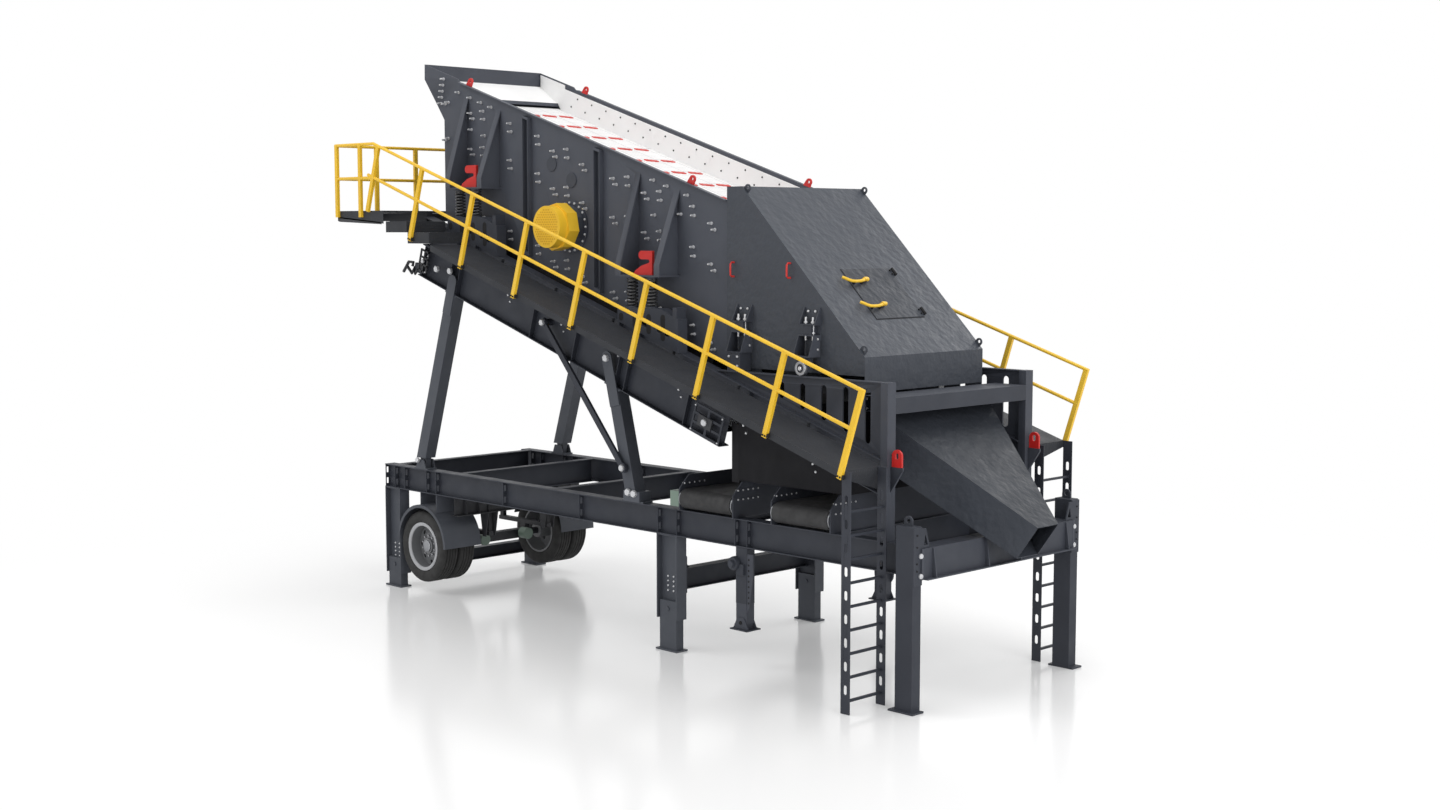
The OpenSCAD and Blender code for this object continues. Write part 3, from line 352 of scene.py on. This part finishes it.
ZINC = paint("bolt_zinc", (0.6, 0.61, 0.63), 0.34, 0.1, 0.02, (0.74, 0.74, 0.76), 0.4)
STEEL = paint("drum_steel", (0.3, 0.31, 0.33), 0.36, 0.12, 0.03, (0.5, 0.5, 0.52), 0.8)
# Guard yellow at about half brightness for the guard's holes: painted shade in the openings.
HOLE = paint("guard_hole_shade", (0.5, 0.26, 0.01), 0.6, 0.05, 0.0, spec=0.2)
# Near black: painted shade in slots, holes, the hatch edge line and the lever feet, and the own colour of
# small dark parts such as hinge knuckles and bolt heads.
DARK = paint("slot_shadow", (0.008, 0.008, 0.009), 0.7, 0.05, 0.0, spec=0.2)
TYRE = rubber("tyre_rubber", (0.018, 0.018, 0.018), 0.78)
BELT = rubber("belt_rubber", (0.016, 0.016, 0.017), 0.66)
WHITE = panel_white("panel_white")
looks = {
    "frame_paint": GRAPHITE, "box_paint": BOX, "running_gear": BLACK, "rim_grey": RIM, "tyre": TYRE,
    "safety_yellow": YELLOW, "lifting_red": RED, "deck_white": WHITE, "spring_black": SPRING,
    "belt_rubber": BELT, "drum_steel": STEEL, "gear_green": GREEN,
}
for part in frame["record"]["subparts"]:
    cad = nodes[part["node"]]
    cad.data.materials.clear()
    cad.data.materials.append(looks[part["material_slot"]])
for name in ("discharge_hood", "hood_hatch", "chute_floor", "chute_sides"):
    nodes[name].data.materials[0] = SHEET
nodes["transfer_hopper"].data.materials[0] = HOPPER_BLACK_AND_SHADE
nodes["chute_roof"].data.materials[0] = SHADED_ROOF
# Fenders, legs and props take the lighter copy of the frame paint: painted light.
for name in ("fenders", "support_legs", "rear_props", "front_props"):
    nodes[name].data.materials[0] = LEG
for name in ("walkways", "feed_platform", "steps"):
    nodes[name].data.materials[0] = TREAD
for name in ("side_liners", "feed_apron"):
    nodes[name].data.materials[0] = LINER

# Softened edges on the CAD pieces
for name, cad in nodes.items():
    smooth(cad.data, 30)
    if name in ("coil_springs", "near_tyres", "far_tyres"):
        continue
    weld = cad.modifiers.new("weld", "WELD")
    weld.merge_threshold = 0.0002
    round_off = cad.modifiers.new("edges", "BEVEL")
    round_off.width = 0.003 if name in ("hatch_handles", "hood_handles", "lifting_lugs") else 0.004
    round_off.segments = 2
    round_off.limit_method = "ANGLE"
    round_off.angle_limit = math.radians(40)
    round_off.use_clamp_overlap = True
    flat = cad.modifiers.new("flat", "WEIGHTED_NORMAL")
    flat.weight = 90
    flat.keep_sharp = True

# Added detail, on both sides of the plant where it is the same
RIB_X = (1.525, 2.235, 5.055, 5.765)
CHANNEL_X = (2.88, 4.33)
PLATE_FACE = 1.059
zinc = Batch()
black = Batch()


def free_plate(x, z):
    """True where a bolt head fits on the side plate, clear of ribs, channels, drive and hood."""
    ribs = min(abs(x - r) for r in RIB_X)
    channels = min(abs(x - c) for c in CHANNEL_X)
    drive = math.hypot(x - DRIVE[0], z - DRIVE[1])
    return 0.7 < x < 6.6 and ribs > 0.075 and channels > 0.085 and drive > 0.38


def plate_bolt(s, n, r=0.022):
    """Bolt head with its shank end on both side plates, where there is room."""
    x = s * math.cos(TILT) + n * math.sin(TILT)
    z = Z0 + n * math.cos(TILT) - s * math.sin(TILT)
    if free_plate(x, z):
        for side in SIDES:
            zinc.stud(WORLD, (x, side * PLATE_FACE, z), (0, side, 0), r, 0.016, 6, 0.9)
            zinc.stud(WORLD, (x, side * 1.07, z), (0, side, 0), 0.65 * r, 0.062, 8)


# Bolt heads of the deck beams: a pair at each beam, set out in three rows down the slope
BEAM_ROWS = (2.41, 1.94, 1.03)
BEAM_PITCH = 0.312
for n0 in BEAM_ROWS:
    for k in range(18):
        s0 = 0.93 + BEAM_PITCH * k + 0.15 * (BEAM_ROWS[0] - n0) / 0.47
        plate_bolt(s0, n0)
        if k % 2:
            plate_bolt(s0 - 0.05, n0 + 0.1)
        else:
            plate_bolt(s0 + 0.08, n0 - 0.055)
# Bolts of the side liners and of the feed box edge
for s0 in (0.58, 0.86, 1.11, 1.35, 4.54, 4.78, 5.04, 5.26, 5.42):
    plate_bolt(s0, 2.61)
for s0 in (1.01, 1.32, 4.68, 4.93):
    plate_bolt(s0, 2.2)
for k in range(5):
    plate_bolt(0.19 + 0.01 * k, 2.7 - 0.085 * k)
for n0 in (1.9, 2.38):
    plate_bolt(0.33 + 0.3 * (2.38 - n0), n0)
    plate_bolt(0.39 + 0.3 * (2.38 - n0), n0 + 0.04)
# Ring of bolts round the bearing housing, and two round covers above it
RING_R = 0.317
RING_BOLTS = 20
covers = Batch()
for side in SIDES:
    for k in range(RING_BOLTS):
        a = 2 * math.pi * k / RING_BOLTS
        at = (DRIVE[0] + RING_R * math.cos(a), side * 1.077, DRIVE[1] + RING_R * math.sin(a))
        zinc.stud(WORLD, at, (0, side, 0), 0.016, 0.018, 8)
    for x, z in ((3.36, 6.08), (3.76, 5.86)):
        covers.stud(WORLD, (x, side * PLATE_FACE, z), (0, side, 0), 0.1, 0.014, 40, 0.96)
covers.make("side_plate_covers", BOX)

# Perforated end of the drive guards: the holes are flat darker-yellow discs, painted shade in the openings
GUARD_FACE = 1.48
GUARD_CLEAR = 0.236
HOLE_PITCH = 0.036
perforation = Batch()
for side in SIDES:
    for j in range(-7, 8):
        for i in range(-7, 8):
            u = HOLE_PITCH * (i + 0.5 * (j % 2))
            w = HOLE_PITCH * math.sqrt(0.75) * j
            if math.hypot(u, w) < GUARD_CLEAR:
                at = (DRIVE[0] + u, side * GUARD_FACE, DRIVE[1] + w)
                perforation.stud(WORLD, at, (0, side, 0), 0.0105, 0.0015, 8, 1)
perforation.make("guard_perforation", HOLE)

# Slots in the outer plates of the spring pedestals, longer from slot to slot, drawn as thin near-black
# plates: painted shade in the openings
slots = Batch()
for side in SIDES:
    for x in STATIONS:
        top = plane_z(x, SEAT_N) - 0.07
        for k in range(4):
            slot = capsule(x - 0.31 + 0.255 * k, top - 0.1 - 0.075 * k, top, 0.08)
            slots.plate(WORLD, slot, side * 1.395, side * 1.402)
slots.make("pedestal_slots", DARK)

# Springs as smooth wire, closed at both ends, in place of the faceted ones
SHELF_N = 1.49
SEAT_T = 0.02
SPRING_Y = 1.32
SPRING_OFF = 0.18
COIL_R = 0.06
WIRE_R = 0.013
TURNS = 9
WIRE_STEPS = TURNS * 24
wire = Batch()
for side in SIDES:
    for x in STATIONS:
        z0 = plane_z(x, SEAT_N) + SEAT_T + WIRE_R
        z1 = plane_z(x, SHELF_N) - SEAT_T - WIRE_R
        for e in (-SPRING_OFF, SPRING_OFF):
            pts = []
            for i in range(WIRE_STEPS + 1):
                u = i / WIRE_STEPS
                rise = min(max((u - 0.07) / 0.86, 0), 1)
                a = 2 * math.pi * TURNS * u
                y = side * SPRING_Y + COIL_R * math.sin(a)
                pts.append((x + e + COIL_R * math.cos(a), y, z0 + (z1 - z0) * rise))
            wire.tube(WORLD, pts, WIRE_R, 8)
springs = wire.make("spring_wire", SPRING, angle=60)
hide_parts("coil_springs")

# Dual tyres with a grooved tread, rim flanges, discs with hand holes and hub nuts, riding on their wheels.
# Outlines are (radius, distance from the middle plane).
DUAL_OFF = 0.148
HAND_HOLES = 8
HAND_HOLE_R = 0.24
NUTS = 10
NUT_R = 0.145
half = [(0.326, 0.108), (0.346, 0.112), (0.364, 0.124), (0.39, 0.134), (0.425, 0.139), (0.452, 0.1385),
        (0.478, 0.1325), (0.499, 0.122), (0.511, 0.109), (0.515, 0.094), (0.5155, 0.078), (0.505, 0.076),
        (0.505, 0.066), (0.516, 0.064), (0.516, 0.03), (0.505, 0.028), (0.505, 0.018), (0.516, 0.016)]
section = half + [(r, -y) for r, y in reversed(half)]
ring = [(0.298, 0.256), (0.302, 0.27), (0.33, 0.279), (0.347, 0.277), (0.35, 0.268), (0.338, 0.262)]
dish = [(0.105, 0.15), (0.17, 0.15), (0.2, 0.132), (0.285, 0.1), (0.302, 0.1), (0.302, 0.086),
        (0.28, 0.086), (0.19, 0.116), (0.165, 0.134), (0.105, 0.134)]
for side, body in ((-1, "near_wheel"), (1, "far_wheel")):
    tread = Batch()
    flange = Batch()
    nuts = Batch()
    disc = Batch()
    holes = Batch()
    for off in (-DUAL_OFF, DUAL_OFF):
        place = Matrix.Translation((WHEEL[0] - OX, side * (WHEEL[1] + off), WHEEL[2]))
        tread.lathe(place, section, 96)
    place = Matrix.Translation((WHEEL[0] - OX, side * WHEEL[1], WHEEL[2]))
    flange.lathe(place, [(r, side * y) for r, y in ring], 96)
    disc.lathe(place, [(r, side * y) for r, y in dish], 96)
    # Hand holes are flat near-black discs: painted shade in the openings.
    for k in range(HAND_HOLES):
        a = 2 * math.pi * k / HAND_HOLES
        at = (HAND_HOLE_R * math.cos(a), side * 0.116, HAND_HOLE_R * math.sin(a))
        holes.stud(place, at, (0.35 * math.cos(a), side, 0.35 * math.sin(a)), 0.032, 0.003, 16, 0.9)
    for k in range(NUTS):
        a = 2 * math.pi * (k + 0.5) / NUTS
        at = (NUT_R * math.cos(a), side * 0.149, NUT_R * math.sin(a))
        nuts.stud(place, at, (0, side, 0), 0.017, 0.03, 6, 0.85)
    nuts.stud(place, (0, side * 0.19, 0), (0, side, 0), 0.085, 0.03, 24, 0.8)
    tyre = tread.make(body + "_treads", TYRE, body, 30)
    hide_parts(body.replace("wheel", "tyres"))
    flange.make(body + "_flanges", FLANGE, body)
    disc.make(body + "_discs", RIM, body)
    holes.make(body + "_disc_holes", DARK, body)
    nuts.make(body + "_nuts", STEEL, body)

# Hatch: painted shade as a dark line along two of its edges, and hinge knuckles
edge_shade = Batch()
# Near-black strips: painted shade along the hatch's raised edge.
edge_shade.box(HOOD, (1.385, -0.43, -0.001), (2.185, -0.42, 0.004))
edge_shade.box(HOOD, (2.185, -0.43, -0.001), (2.196, 0.45, 0.004))
edge_shade.make("hatch_edge_shade", DARK)
hinges = Batch()
for t in (1.46, 2.11):
    hinges.tube(HOOD, [(t - 0.05, 0.475, 0.022), (t + 0.05, 0.475, 0.022)], 0.02, 14)
    for d in (-0.03, 0.03):
        hinges.stud(HOOD, (t + d, 0.43, 0.006), (0, 0, 1), 0.012, 0.018, 6)
hinges.make("hatch_hinge_knuckles", DARK)

# Bent levers of the hatch, each with a knob and two feet, as (down the slope, across, off it)
LEVER_T = (1.62, 2.02)
bars = Batch()
feet = Batch()
for t in LEVER_T:
    bends = [(-0.085, -0.53, 0.028), (-0.06, -0.515, 0.04), (-0.02, -0.48, 0.05), (0.0, -0.44, 0.052),
             (0.006, -0.38, 0.052), (0.004, -0.3, 0.052), (-0.006, -0.24, 0.05), (-0.024, -0.2, 0.046)]
    bars.tube(HOOD, [(t + d, y, n) for d, y, n in bends], 0.018, 12)
    knob = [(-0.022, -0.205, 0.046), (-0.032, -0.18, 0.044), (-0.036, -0.15, 0.04), (-0.034, -0.122, 0.036)]
    bars.tube(HOOD, [(t + d, y, n) for d, y, n in knob], 0.026, 14)
    # Feet under the bar, painted near black: painted shade of the bar over them.
    for y in (-0.385, -0.25):
        feet.stud(HOOD, (t, y, 0.006), (0, 0, 1), 0.02, 0.042, 12, 0.8)
feet.make("hatch_lever_feet_shaded", DARK)
grips = bars.make("hatch_bars", YELLOW, angle=50)
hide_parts("hatch_handles")

# Red grab loops on the sides of the hood, as (across, height)
LOOP_X = (6.774, 7.695)
loops = Batch()
for side in SIDES:
    for x in LOOP_X:
        bends = [(1.08, 4.66), (1.125, 4.662), (1.142, 4.68), (1.143, 4.745), (1.142, 4.81), (1.125, 4.828),
                 (1.08, 4.83)]
        loops.tube(WORLD, [(x, side * y, z) for y, z in bends], 0.012, 12)
red_loops = loops.make("hood_grab_loops", RED, angle=50)
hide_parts("hood_handles")

# Links beside the hood: bright rods and bolts, and the roller of the front link
LINK_X = (6.84, 7.93)
ROLLER_X = 8.055
rods = Batch()
rollers = Batch()
for side in SIDES:
    for x in LINK_X:
        for e in (0.07, 0.18):
            y = side * 1.141
            rods.tube(WORLD, [(x + e, y, FRAME_TOP + 0.4), (x + e, y, FRAME_TOP + 0.67)], 0.0135, 12)
            for z in (0.478, 0.6):
                rods.stud(WORLD, (x + e, y, FRAME_TOP + z), (0, 0, 1), 0.024, 0.022, 6, 0.9)
            zinc.stud(WORLD, (x + e, side * 1.095, FRAME_TOP + 0.735), (0, side, 0), 0.015, 0.016, 8)
        for z in (0.3, 0.42):
            zinc.stud(WORLD, (x - 0.001, side * 1.14, FRAME_TOP + z), (-1, 0, 0), 0.014, 0.014, 8)
            zinc.stud(WORLD, (x + 0.251, side * 1.14, FRAME_TOP + z), (1, 0, 0), 0.014, 0.014, 8)
    place = Matrix.Translation((ROLLER_X - OX, side * 1.27, FRAME_TOP + 0.086))
    rim = [(0.05, 0.022), (0.05, 0.029), (0.062, 0.033), (0.08, 0.03), (0.087, 0.02), (0.086, 0.0)]
    rollers.lathe(place, [(r, side * y) for r, y in rim], 48)
    zinc.stud(place, (0, side * 0.023, 0), (0, side, 0), 0.026, 0.02, 6, 0.85)
    for e, z in ((0.05, 0.06), (0.19, 0.06), (0.05, 0.17), (0.19, 0.17)):
        zinc.stud(WORLD, (LINK_X[0] + e, side * 1.279, FRAME_TOP + z), (0, side, 0), 0.015, 0.016, 8)
rods.make("link_rods", ZINC)
rollers.make("link_roller_rings", STEEL)

# Pins and bolts of props and struts, take-up bearings, girder bolts and leg bolts
PROP_PINS = ((1.207, 4.669, 0.05), (1.517, 4.646, 0.05), (4.783, 3.598, 0.052), (5.19, 1.925, 0.05),
             (5.3, 1.915, 0.05), (0.68, 1.93, 0.04))
PIN_FACE = 1.37
LEG_BOLTS = ((0.0, 0.45), (5.87, 0.75))
blocks = Batch()
for side in SIDES:
    for x, z, r in PROP_PINS:
        zinc.stud(WORLD, (x, side * PIN_FACE, z), (0, side, 0), r, 0.035, 6, 0.85)
    for x, z in ((3.57, 4.007), (5.125, 2.23)):
        zinc.stud(WORLD, (x, side * 1.42, z), (0, side, 0), 0.045, 0.03, 6, 0.85)
    for k in range(1, 7):
        for d in (0.0, 0.07):
            at = (1.52 + POST_PITCH * k + d, side * GIRDER_FACE, 0.37 - d)
            zinc.stud(SLOPE, at, (0, side, 0), 0.015, 0.016, 8)
    blocks.box(SLOPE, (6.72, side * 1.372 - 0.012, 0.13), (6.96, side * 1.372 + 0.012, 0.27))
    zinc.stud(SLOPE, (6.84, side * 1.38, 0.2), (0, side, 0), 0.045, 0.03, 12, 0.8)
    for s0, n0 in ((6.63, 0.35), (7.11, 0.35), (7.11, 0.04), (6.63, 0.04)):
        zinc.stud(SLOPE, (s0, side * PIN_FACE, n0), (0, side, 0), 0.012, 0.014, 8)
    for x, z0 in LEG_BOLTS:
        for i in range(2):
            for j in range(4):
                at = (x - 0.05 + 0.1 * i, side * GIRDER_FACE, z0 + 0.06 * j)
                zinc.stud(WORLD, at, (0, side, 0), 0.013, 0.014, 8)
    for z in (1.5, 1.72):
        zinc.stud(WORLD, (9.95, side * 1.43, z), (1, 0, 0), 0.03, 0.026, 12, 0.8)
    for z in (1.56, 1.64, 1.82, 1.95):
        black.stud(WORLD, (9.952, side * 1.49, z), (1, 0, 0), 0.011, 0.012, 8)
    for x in (8.97, 9.38):
        for z in (3.235, 3.345):
            zinc.stud(WORLD, (x, side * 1.19, z), (0, -side, 0), 0.013, 0.014, 8)
blocks.make("take_up_bearings", BLACK)

# Windowed plates with a bearing at the upper end of the slope girders
ends = Batch()
for side in SIDES:
    y0, y1 = sorted((side * 1.354, side * 1.372))
    for s0 in (0.745, 0.835, 0.925):
        ends.box(SLOPE, (s0, y0, 0.07), (s0 + 0.025, y1, 0.395))
    for n0 in (0.07, 0.17, 0.27, 0.37):
        ends.box(SLOPE, (0.745, y0, n0), (0.95, y1, n0 + 0.025))
    zinc.stud(SLOPE, (0.8475, side * 1.371, 0.235), (0, side, 0), 0.028, 0.024, 12, 0.85)
    for n0 in (0.1, 0.34):
        zinc.stud(SLOPE, (0.937, side * 1.371, n0), (0, side, 0), 0.011, 0.012, 8)
ends.make("girder_end_plates", BLACK)

# Feet of the rail posts, dark heads along the liners, and bright heads on the conveyor frames
RAIL_Y = 2.07
CONVEYOR_X = (6.14, 7.06, 7.69, 8.61)
for side in SIDES:
    for k in range(8):
        s0 = 1.4 + POST_PITCH * k
        for d in (-0.018, 0.018):
            black.stud(SLOPE, (s0 + d, side * 2.089, 0.745), (0, side, 0), 0.012, 0.014, 8)
        y = side * RAIL_Y
        black.box(SLOPE, (s0 + 0.032, y - 0.016, 0.73), (s0 + 0.052, y + 0.016, 0.775))
    for k in range(19):
        for n0 in (2.5, 2.64):
            s0 = 0.55 + 0.33 * k + (0.11 if n0 > 2.6 else 0)
            black.stud(SLOPE, (s0, side * 1.029, n0), (0, -side, 0), 0.013, 0.008, 8)
    for x in CONVEYOR_X:
        for k in range(5):
            for z in (2.02, 2.13):
                at = (x - 0.001 if side < 0 else x + 0.021, 1.32 - 0.085 * k, z)
                zinc.stud(WORLD, at, (side, 0, 0), 0.011, 0.012, 8)
                zinc.stud(WORLD, (at[0], -at[1], z), (side, 0, 0), 0.011, 0.012, 8)
zinc.make("bolt_heads", ZINC)
black.make("dark_bolt_heads", DARK)

# Landing jacks: full sleeve, gear case, bar with setting holes and foot cheeks
JACK = (7.155, 1.27, 0.46)
sleeves = Batch()
pits = Batch()
for side in SIDES:
    place = Matrix.Translation((JACK[0] - OX, side * JACK[1], JACK[2]))
    sleeves.box(place, (-0.086, -0.066, 0.08), (0.086, 0.066, 0.33))
    sleeves.stud(place, (-0.09, side * 0.03, 0.8), (0, side, 0), 0.085, 0.1, 28, 0.9)
    sleeves.stud(place, (-0.09, side * 0.12, 0.8), (0, side, 0), 0.045, 0.05, 20, 0.85)
    bar = [(0.085, 0.93), (0.185, 0.93), (0.185, 0.66), (0.125, 0.28), (0.085, 0.22)]
    sleeves.plate(place, bar, side * 0.045, side * 0.062)
    # Setting holes are flat near-black discs: painted shade in the openings.
    for k in range(9):
        pits.stud(place, (0.118, side * 0.061, 0.34 + 0.065 * k), (0, side, 0), 0.013, 0.0025, 12, 1)
    for y in (-0.07, 0.07):
        cheek = [(-0.125, 0.016), (0.125, 0.016), (0.055, 0.15), (-0.055, 0.15)]
        sleeves.plate(place, cheek, y - 0.008, y + 0.008)
    pits.stud(place, (0, side * 0.077, 0.09), (0, side, 0), 0.022, 0.012, 16, 0.9)
sleeves.make("jack_sleeves", GRAPHITE)
pits.make("jack_holes", DARK)

# White lining of the feed box, from its back plate to the side liners
lining = Batch()
for side in SIDES:
    outline = [(0.572, 2.525), (0.972, 2.28), (1.036, 2.18), (1.132, 2.478), (1.132, 2.535), (0.572, 2.715)]
    lining.plate(WORLD, [(x, Z0 + z) for x, z in outline], side * 1.047, side * 1.034)
lining.make("feed_box_lining", LINER)

# Cross member in front of the axle, with its lower flange, gussets and hanger cheeks
CROSS = (1.24, 1.15, 1.455)
member = Batch()
x, z0, z1 = CROSS
member.box(WORLD, (x - 0.006, -1.16, z0), (x + 0.006, 1.16, z1))
member.box(WORLD, (x - 0.07, -1.16, z0), (x + 0.08, 1.16, z0 + 0.012))
for side in SIDES:
    for y in (0.458, 0.627):
        cheek = [(x - 0.09, z0 + 0.004), (x + 0.1, z0 + 0.004), (x + 0.035, 0.8), (x - 0.035, 0.8)]
        member.plate(WORLD, cheek, side * y - 0.006, side * y + 0.006)
    for y in (0.75, 0.98):
        gusset = [(x, z0 + 0.008), (x + 0.075, z0 + 0.008), (x + 0.02, z1), (x, z1)]
        member.plate(WORLD, gusset, side * y - 0.005, side * y + 0.005)
member.make("axle_cross_member", BLACK)

# Ledge, tapered gussets and end plates on the front cross beam
FRONT = (9.968, 1.46, 1.79)
ledge = Batch()
x, z0, z1 = FRONT
ledge.box(WORLD, (x, -1.396, z0), (x + 0.064, 1.396, z0 + 0.014))
for y in (-1.24, -0.3, 0.3, 1.24):
    gusset = [(x, z0 + 0.01), (x + 0.06, z0 + 0.01), (x + 0.06, z0 + 0.03), (x + 0.018, z1), (x, z1)]
    ledge.plate(WORLD, gusset, y - 0.007, y + 0.007)
for side in SIDES:
    y0, y1 = sorted((side * 1.392, side * 1.424))
    ledge.box(WORLD, (x - 0.22, y0, z0), (x + 0.004, y1, z1 + 0.008))
ledge.make("front_beam_gussets", GRAPHITE)

# Hopper sides carried back under the girders, and dark skirts under the side plates
STRIP_X = (6.842, 6.965)
skirts = Batch()
x0, x1 = STRIP_X
for side in SIDES:
    outline = [(x0, 2.2), (x1, 2.2), (x1, plane_z(x1, 0.3)), (x0, plane_z(x0, 0.3))]
    skirts.plate(WORLD, outline, side * 1.182, side * 1.172)
    skirts.box(SLOPE, (1.4, side * 1.0 - 0.004, 0.72), (6.4, side * 1.0 + 0.004, 0.93))
skirts.make("hopper_skirts", HOPPER_BLACK_AND_SHADE)

# Deeper edge round the feed platform
WALK_HALF = 2.05
PLATFORM_X = -0.22
edge = Batch()
x = PLATFORM_X
for side in SIDES:
    outline = [(x, 5.4), (0.85, 5.32), (0.85, 5.292), (x + 0.05, 5.327), (x + 0.015, 5.335), (x, 5.35)]
    edge.plate(WORLD, outline, side * WALK_HALF, side * (WALK_HALF - 0.01))
edge.box(WORLD, (x, -WALK_HALF, 5.34), (x + 0.01, WALK_HALF, 5.4))
edge.make("platform_edge", BLACK)

# Bent levers of the belt scraper, beside the upper end of the belt
LEVER_Y = -1.29
upper = [(0.283, 4.617), (0.415, 4.761), (0.525, 4.754), (0.504, 4.701)]
lower = [(0.362, 4.707), (0.486, 4.599), (0.555, 4.68), (0.562, 4.592), (0.688, 4.697), (0.852, 4.677)]
levers = Batch()
for bends in (upper, lower):
    levers.tube(WORLD, [(u, LEVER_Y, w) for u, w in bends], 0.022, 8)
levers.make("scraper_levers", BLACK)

# Lip under the feed apron, and the red dashes between the deck panels
lip = Batch()
lip.box(WORLD, (0.969, -1.04, Z0 + 2.228), (0.976, 1.04, Z0 + 2.276))
lip.make("apron_lip", BOX)
DASH_ROWS = 11
DASHES = 6
DASH_STEP = 0.068
dashes = Batch()
for k in range(DASH_ROWS):
    for j in range(DASHES):
        s0 = 0.775 + PANEL_L * k
        y0 = -0.875 + PANEL_W * j
        for step in range(3):
            shift = 0.014 * (step - 1)
            dashes.box(SLOPE, (s0 - 0.03 + shift, y0 + DASH_STEP * step, 2.388),
                       (s0 + 0.03 + shift, y0 + DASH_STEP * step + DASH_STEP, 2.402))
dashes.make("deck_wedges", RED)


# Stage, light and camera
def showing_rays(tree):
    """1 on camera, glossy and transmission rays, which show the white background, and 0 on the rest."""
    path = tree.nodes.new("ShaderNodeLightPath")
    value = path.outputs["Is Camera Ray"]
    for kind in ("Is Glossy Ray", "Is Transmission Ray"):
        total = tree.nodes.new("ShaderNodeMath")
        total.operation = "ADD"
        total.use_clamp = True
        tree.links.new(value, total.inputs[0])
        tree.links.new(path.outputs[kind], total.inputs[1])
        value = total.outputs["Value"]
    return value


world = bpy.data.worlds.new("studio")
bpy.context.scene.world = world
world.use_nodes = True
tree = world.node_tree
back = tree.nodes["Background"]
back.inputs["Color"].default_value = (1, 1, 1, 1)
back.inputs["Strength"].default_value = 0.52
seen = tree.nodes.new("ShaderNodeBackground")
seen.inputs["Color"].default_value = (1, 1, 1, 1)
seen.inputs["Strength"].default_value = 1.0
pick = tree.nodes.new("ShaderNodeMixShader")
tree.links.new(showing_rays(tree), pick.inputs["Fac"])
tree.links.new(back.outputs["Background"], pick.inputs[1])
tree.links.new(seen.outputs["Background"], pick.inputs[2])
tree.links.new(pick.outputs["Shader"], tree.nodes["World Output"].inputs["Surface"])

# Floor: pale and slightly glossy under the plant, plain white further off
FLOOR_HALF = 150
FLOOR_Z = -0.002
FADE = (6.0, 13.0)
corners = [(x * FLOOR_HALF, y * FLOOR_HALF, FLOOR_Z) for x, y in ((-1, -1), (1, -1), (1, 1), (-1, 1))]
floor_mesh = bpy.data.meshes.new("floor")
floor_mesh.from_pydata(corners, [], [(0, 1, 2, 3)])
floor = bpy.data.objects.new("floor", floor_mesh)
bpy.context.scene.collection.objects.link(floor)
look, tree, bsdf = shader("pale_floor")
bsdf.inputs["Base Color"].default_value = (0.93, 0.93, 0.93, 1)
bsdf.inputs["Roughness"].default_value = 0.16
bsdf.inputs["Specular IOR Level"].default_value = 0.3
glow = tree.nodes.new("ShaderNodeEmission")
glow.inputs["Color"].default_value = (1, 1, 1, 1)
glow.inputs["Strength"].default_value = 0.17
both = tree.nodes.new("ShaderNodeAddShader")
tree.links.new(bsdf.outputs["BSDF"], both.inputs[0])
tree.links.new(glow.outputs["Emission"], both.inputs[1])
plain = tree.nodes.new("ShaderNodeEmission")
plain.inputs["Color"].default_value = (1, 1, 1, 1)
plain.inputs["Strength"].default_value = 1.0
where = tree.nodes.new("ShaderNodeNewGeometry")
far = tree.nodes.new("ShaderNodeVectorMath")
far.operation = "LENGTH"
tree.links.new(where.outputs["Position"], far.inputs[0])
fade = tree.nodes.new("ShaderNodeMapRange")
fade.interpolation_type = "SMOOTHSTEP"
fade.inputs["From Min"].default_value = FADE[0]
fade.inputs["From Max"].default_value = FADE[1]
tree.links.new(far.outputs["Value"], fade.inputs["Value"])
spread = tree.nodes.new("ShaderNodeMixShader")
tree.links.new(fade.outputs["Result"], spread.inputs["Fac"])
tree.links.new(both.outputs["Shader"], spread.inputs[1])
tree.links.new(plain.outputs["Emission"], spread.inputs[2])
shown = tree.nodes.new("ShaderNodeMixShader")
tree.links.new(showing_rays(tree), shown.inputs["Fac"])
tree.links.new(bsdf.outputs["BSDF"], shown.inputs[1])
tree.links.new(spread.outputs["Shader"], shown.inputs[2])
tree.links.new(shown.outputs["Shader"], tree.nodes["Material Output"].inputs["Surface"])
floor_mesh.materials.append(look)


def area(name, where, aim, size, power):
    """Rectangular lamp that points at aim."""
    data = bpy.data.lights.new(name, "AREA")
    data.shape = "RECTANGLE"
    data.size, data.size_y = size
    data.energy = power
    lamp = bpy.data.objects.new(name, data)
    bpy.context.scene.collection.objects.link(lamp)
    lamp.location = where
    lamp.rotation_euler = (Vector(aim) - Vector(where)).to_track_quat("-Z", "Y").to_euler()


area("key", (-9, -11, 17), (0, 0, 3.5), (10, 8), 600)
area("fill", (18, -3, 8), (1, 0, 3), (9, 9), 900)
area("top", (2, 1, 20), (0, 0, 3), (12, 10), 1000)
area("rim", (4, 16, 12), (0, 0, 4), (12, 7), 600)
area("low", (2, -19, 2.2), (0, 0, 0.8), (18, 3), 420)

# Camera at the photo's angle
CAMERA_AT = (22.2914 - OX, -16.6883, 5.22)
CAMERA_TURN = (math.radians(84.538), 0, math.radians(45.27))
lens = bpy.data.cameras.new("camera")
lens.sensor_width = 36
lens.lens = 45.9
lens.clip_end = 500
camera = bpy.data.objects.new("camera", lens)
bpy.context.scene.collection.objects.link(camera)
camera.location = CAMERA_AT
camera.rotation_euler = CAMERA_TURN
bpy.context.scene.camera = camera
bpy.context.scene.view_settings.view_transform = "Standard"
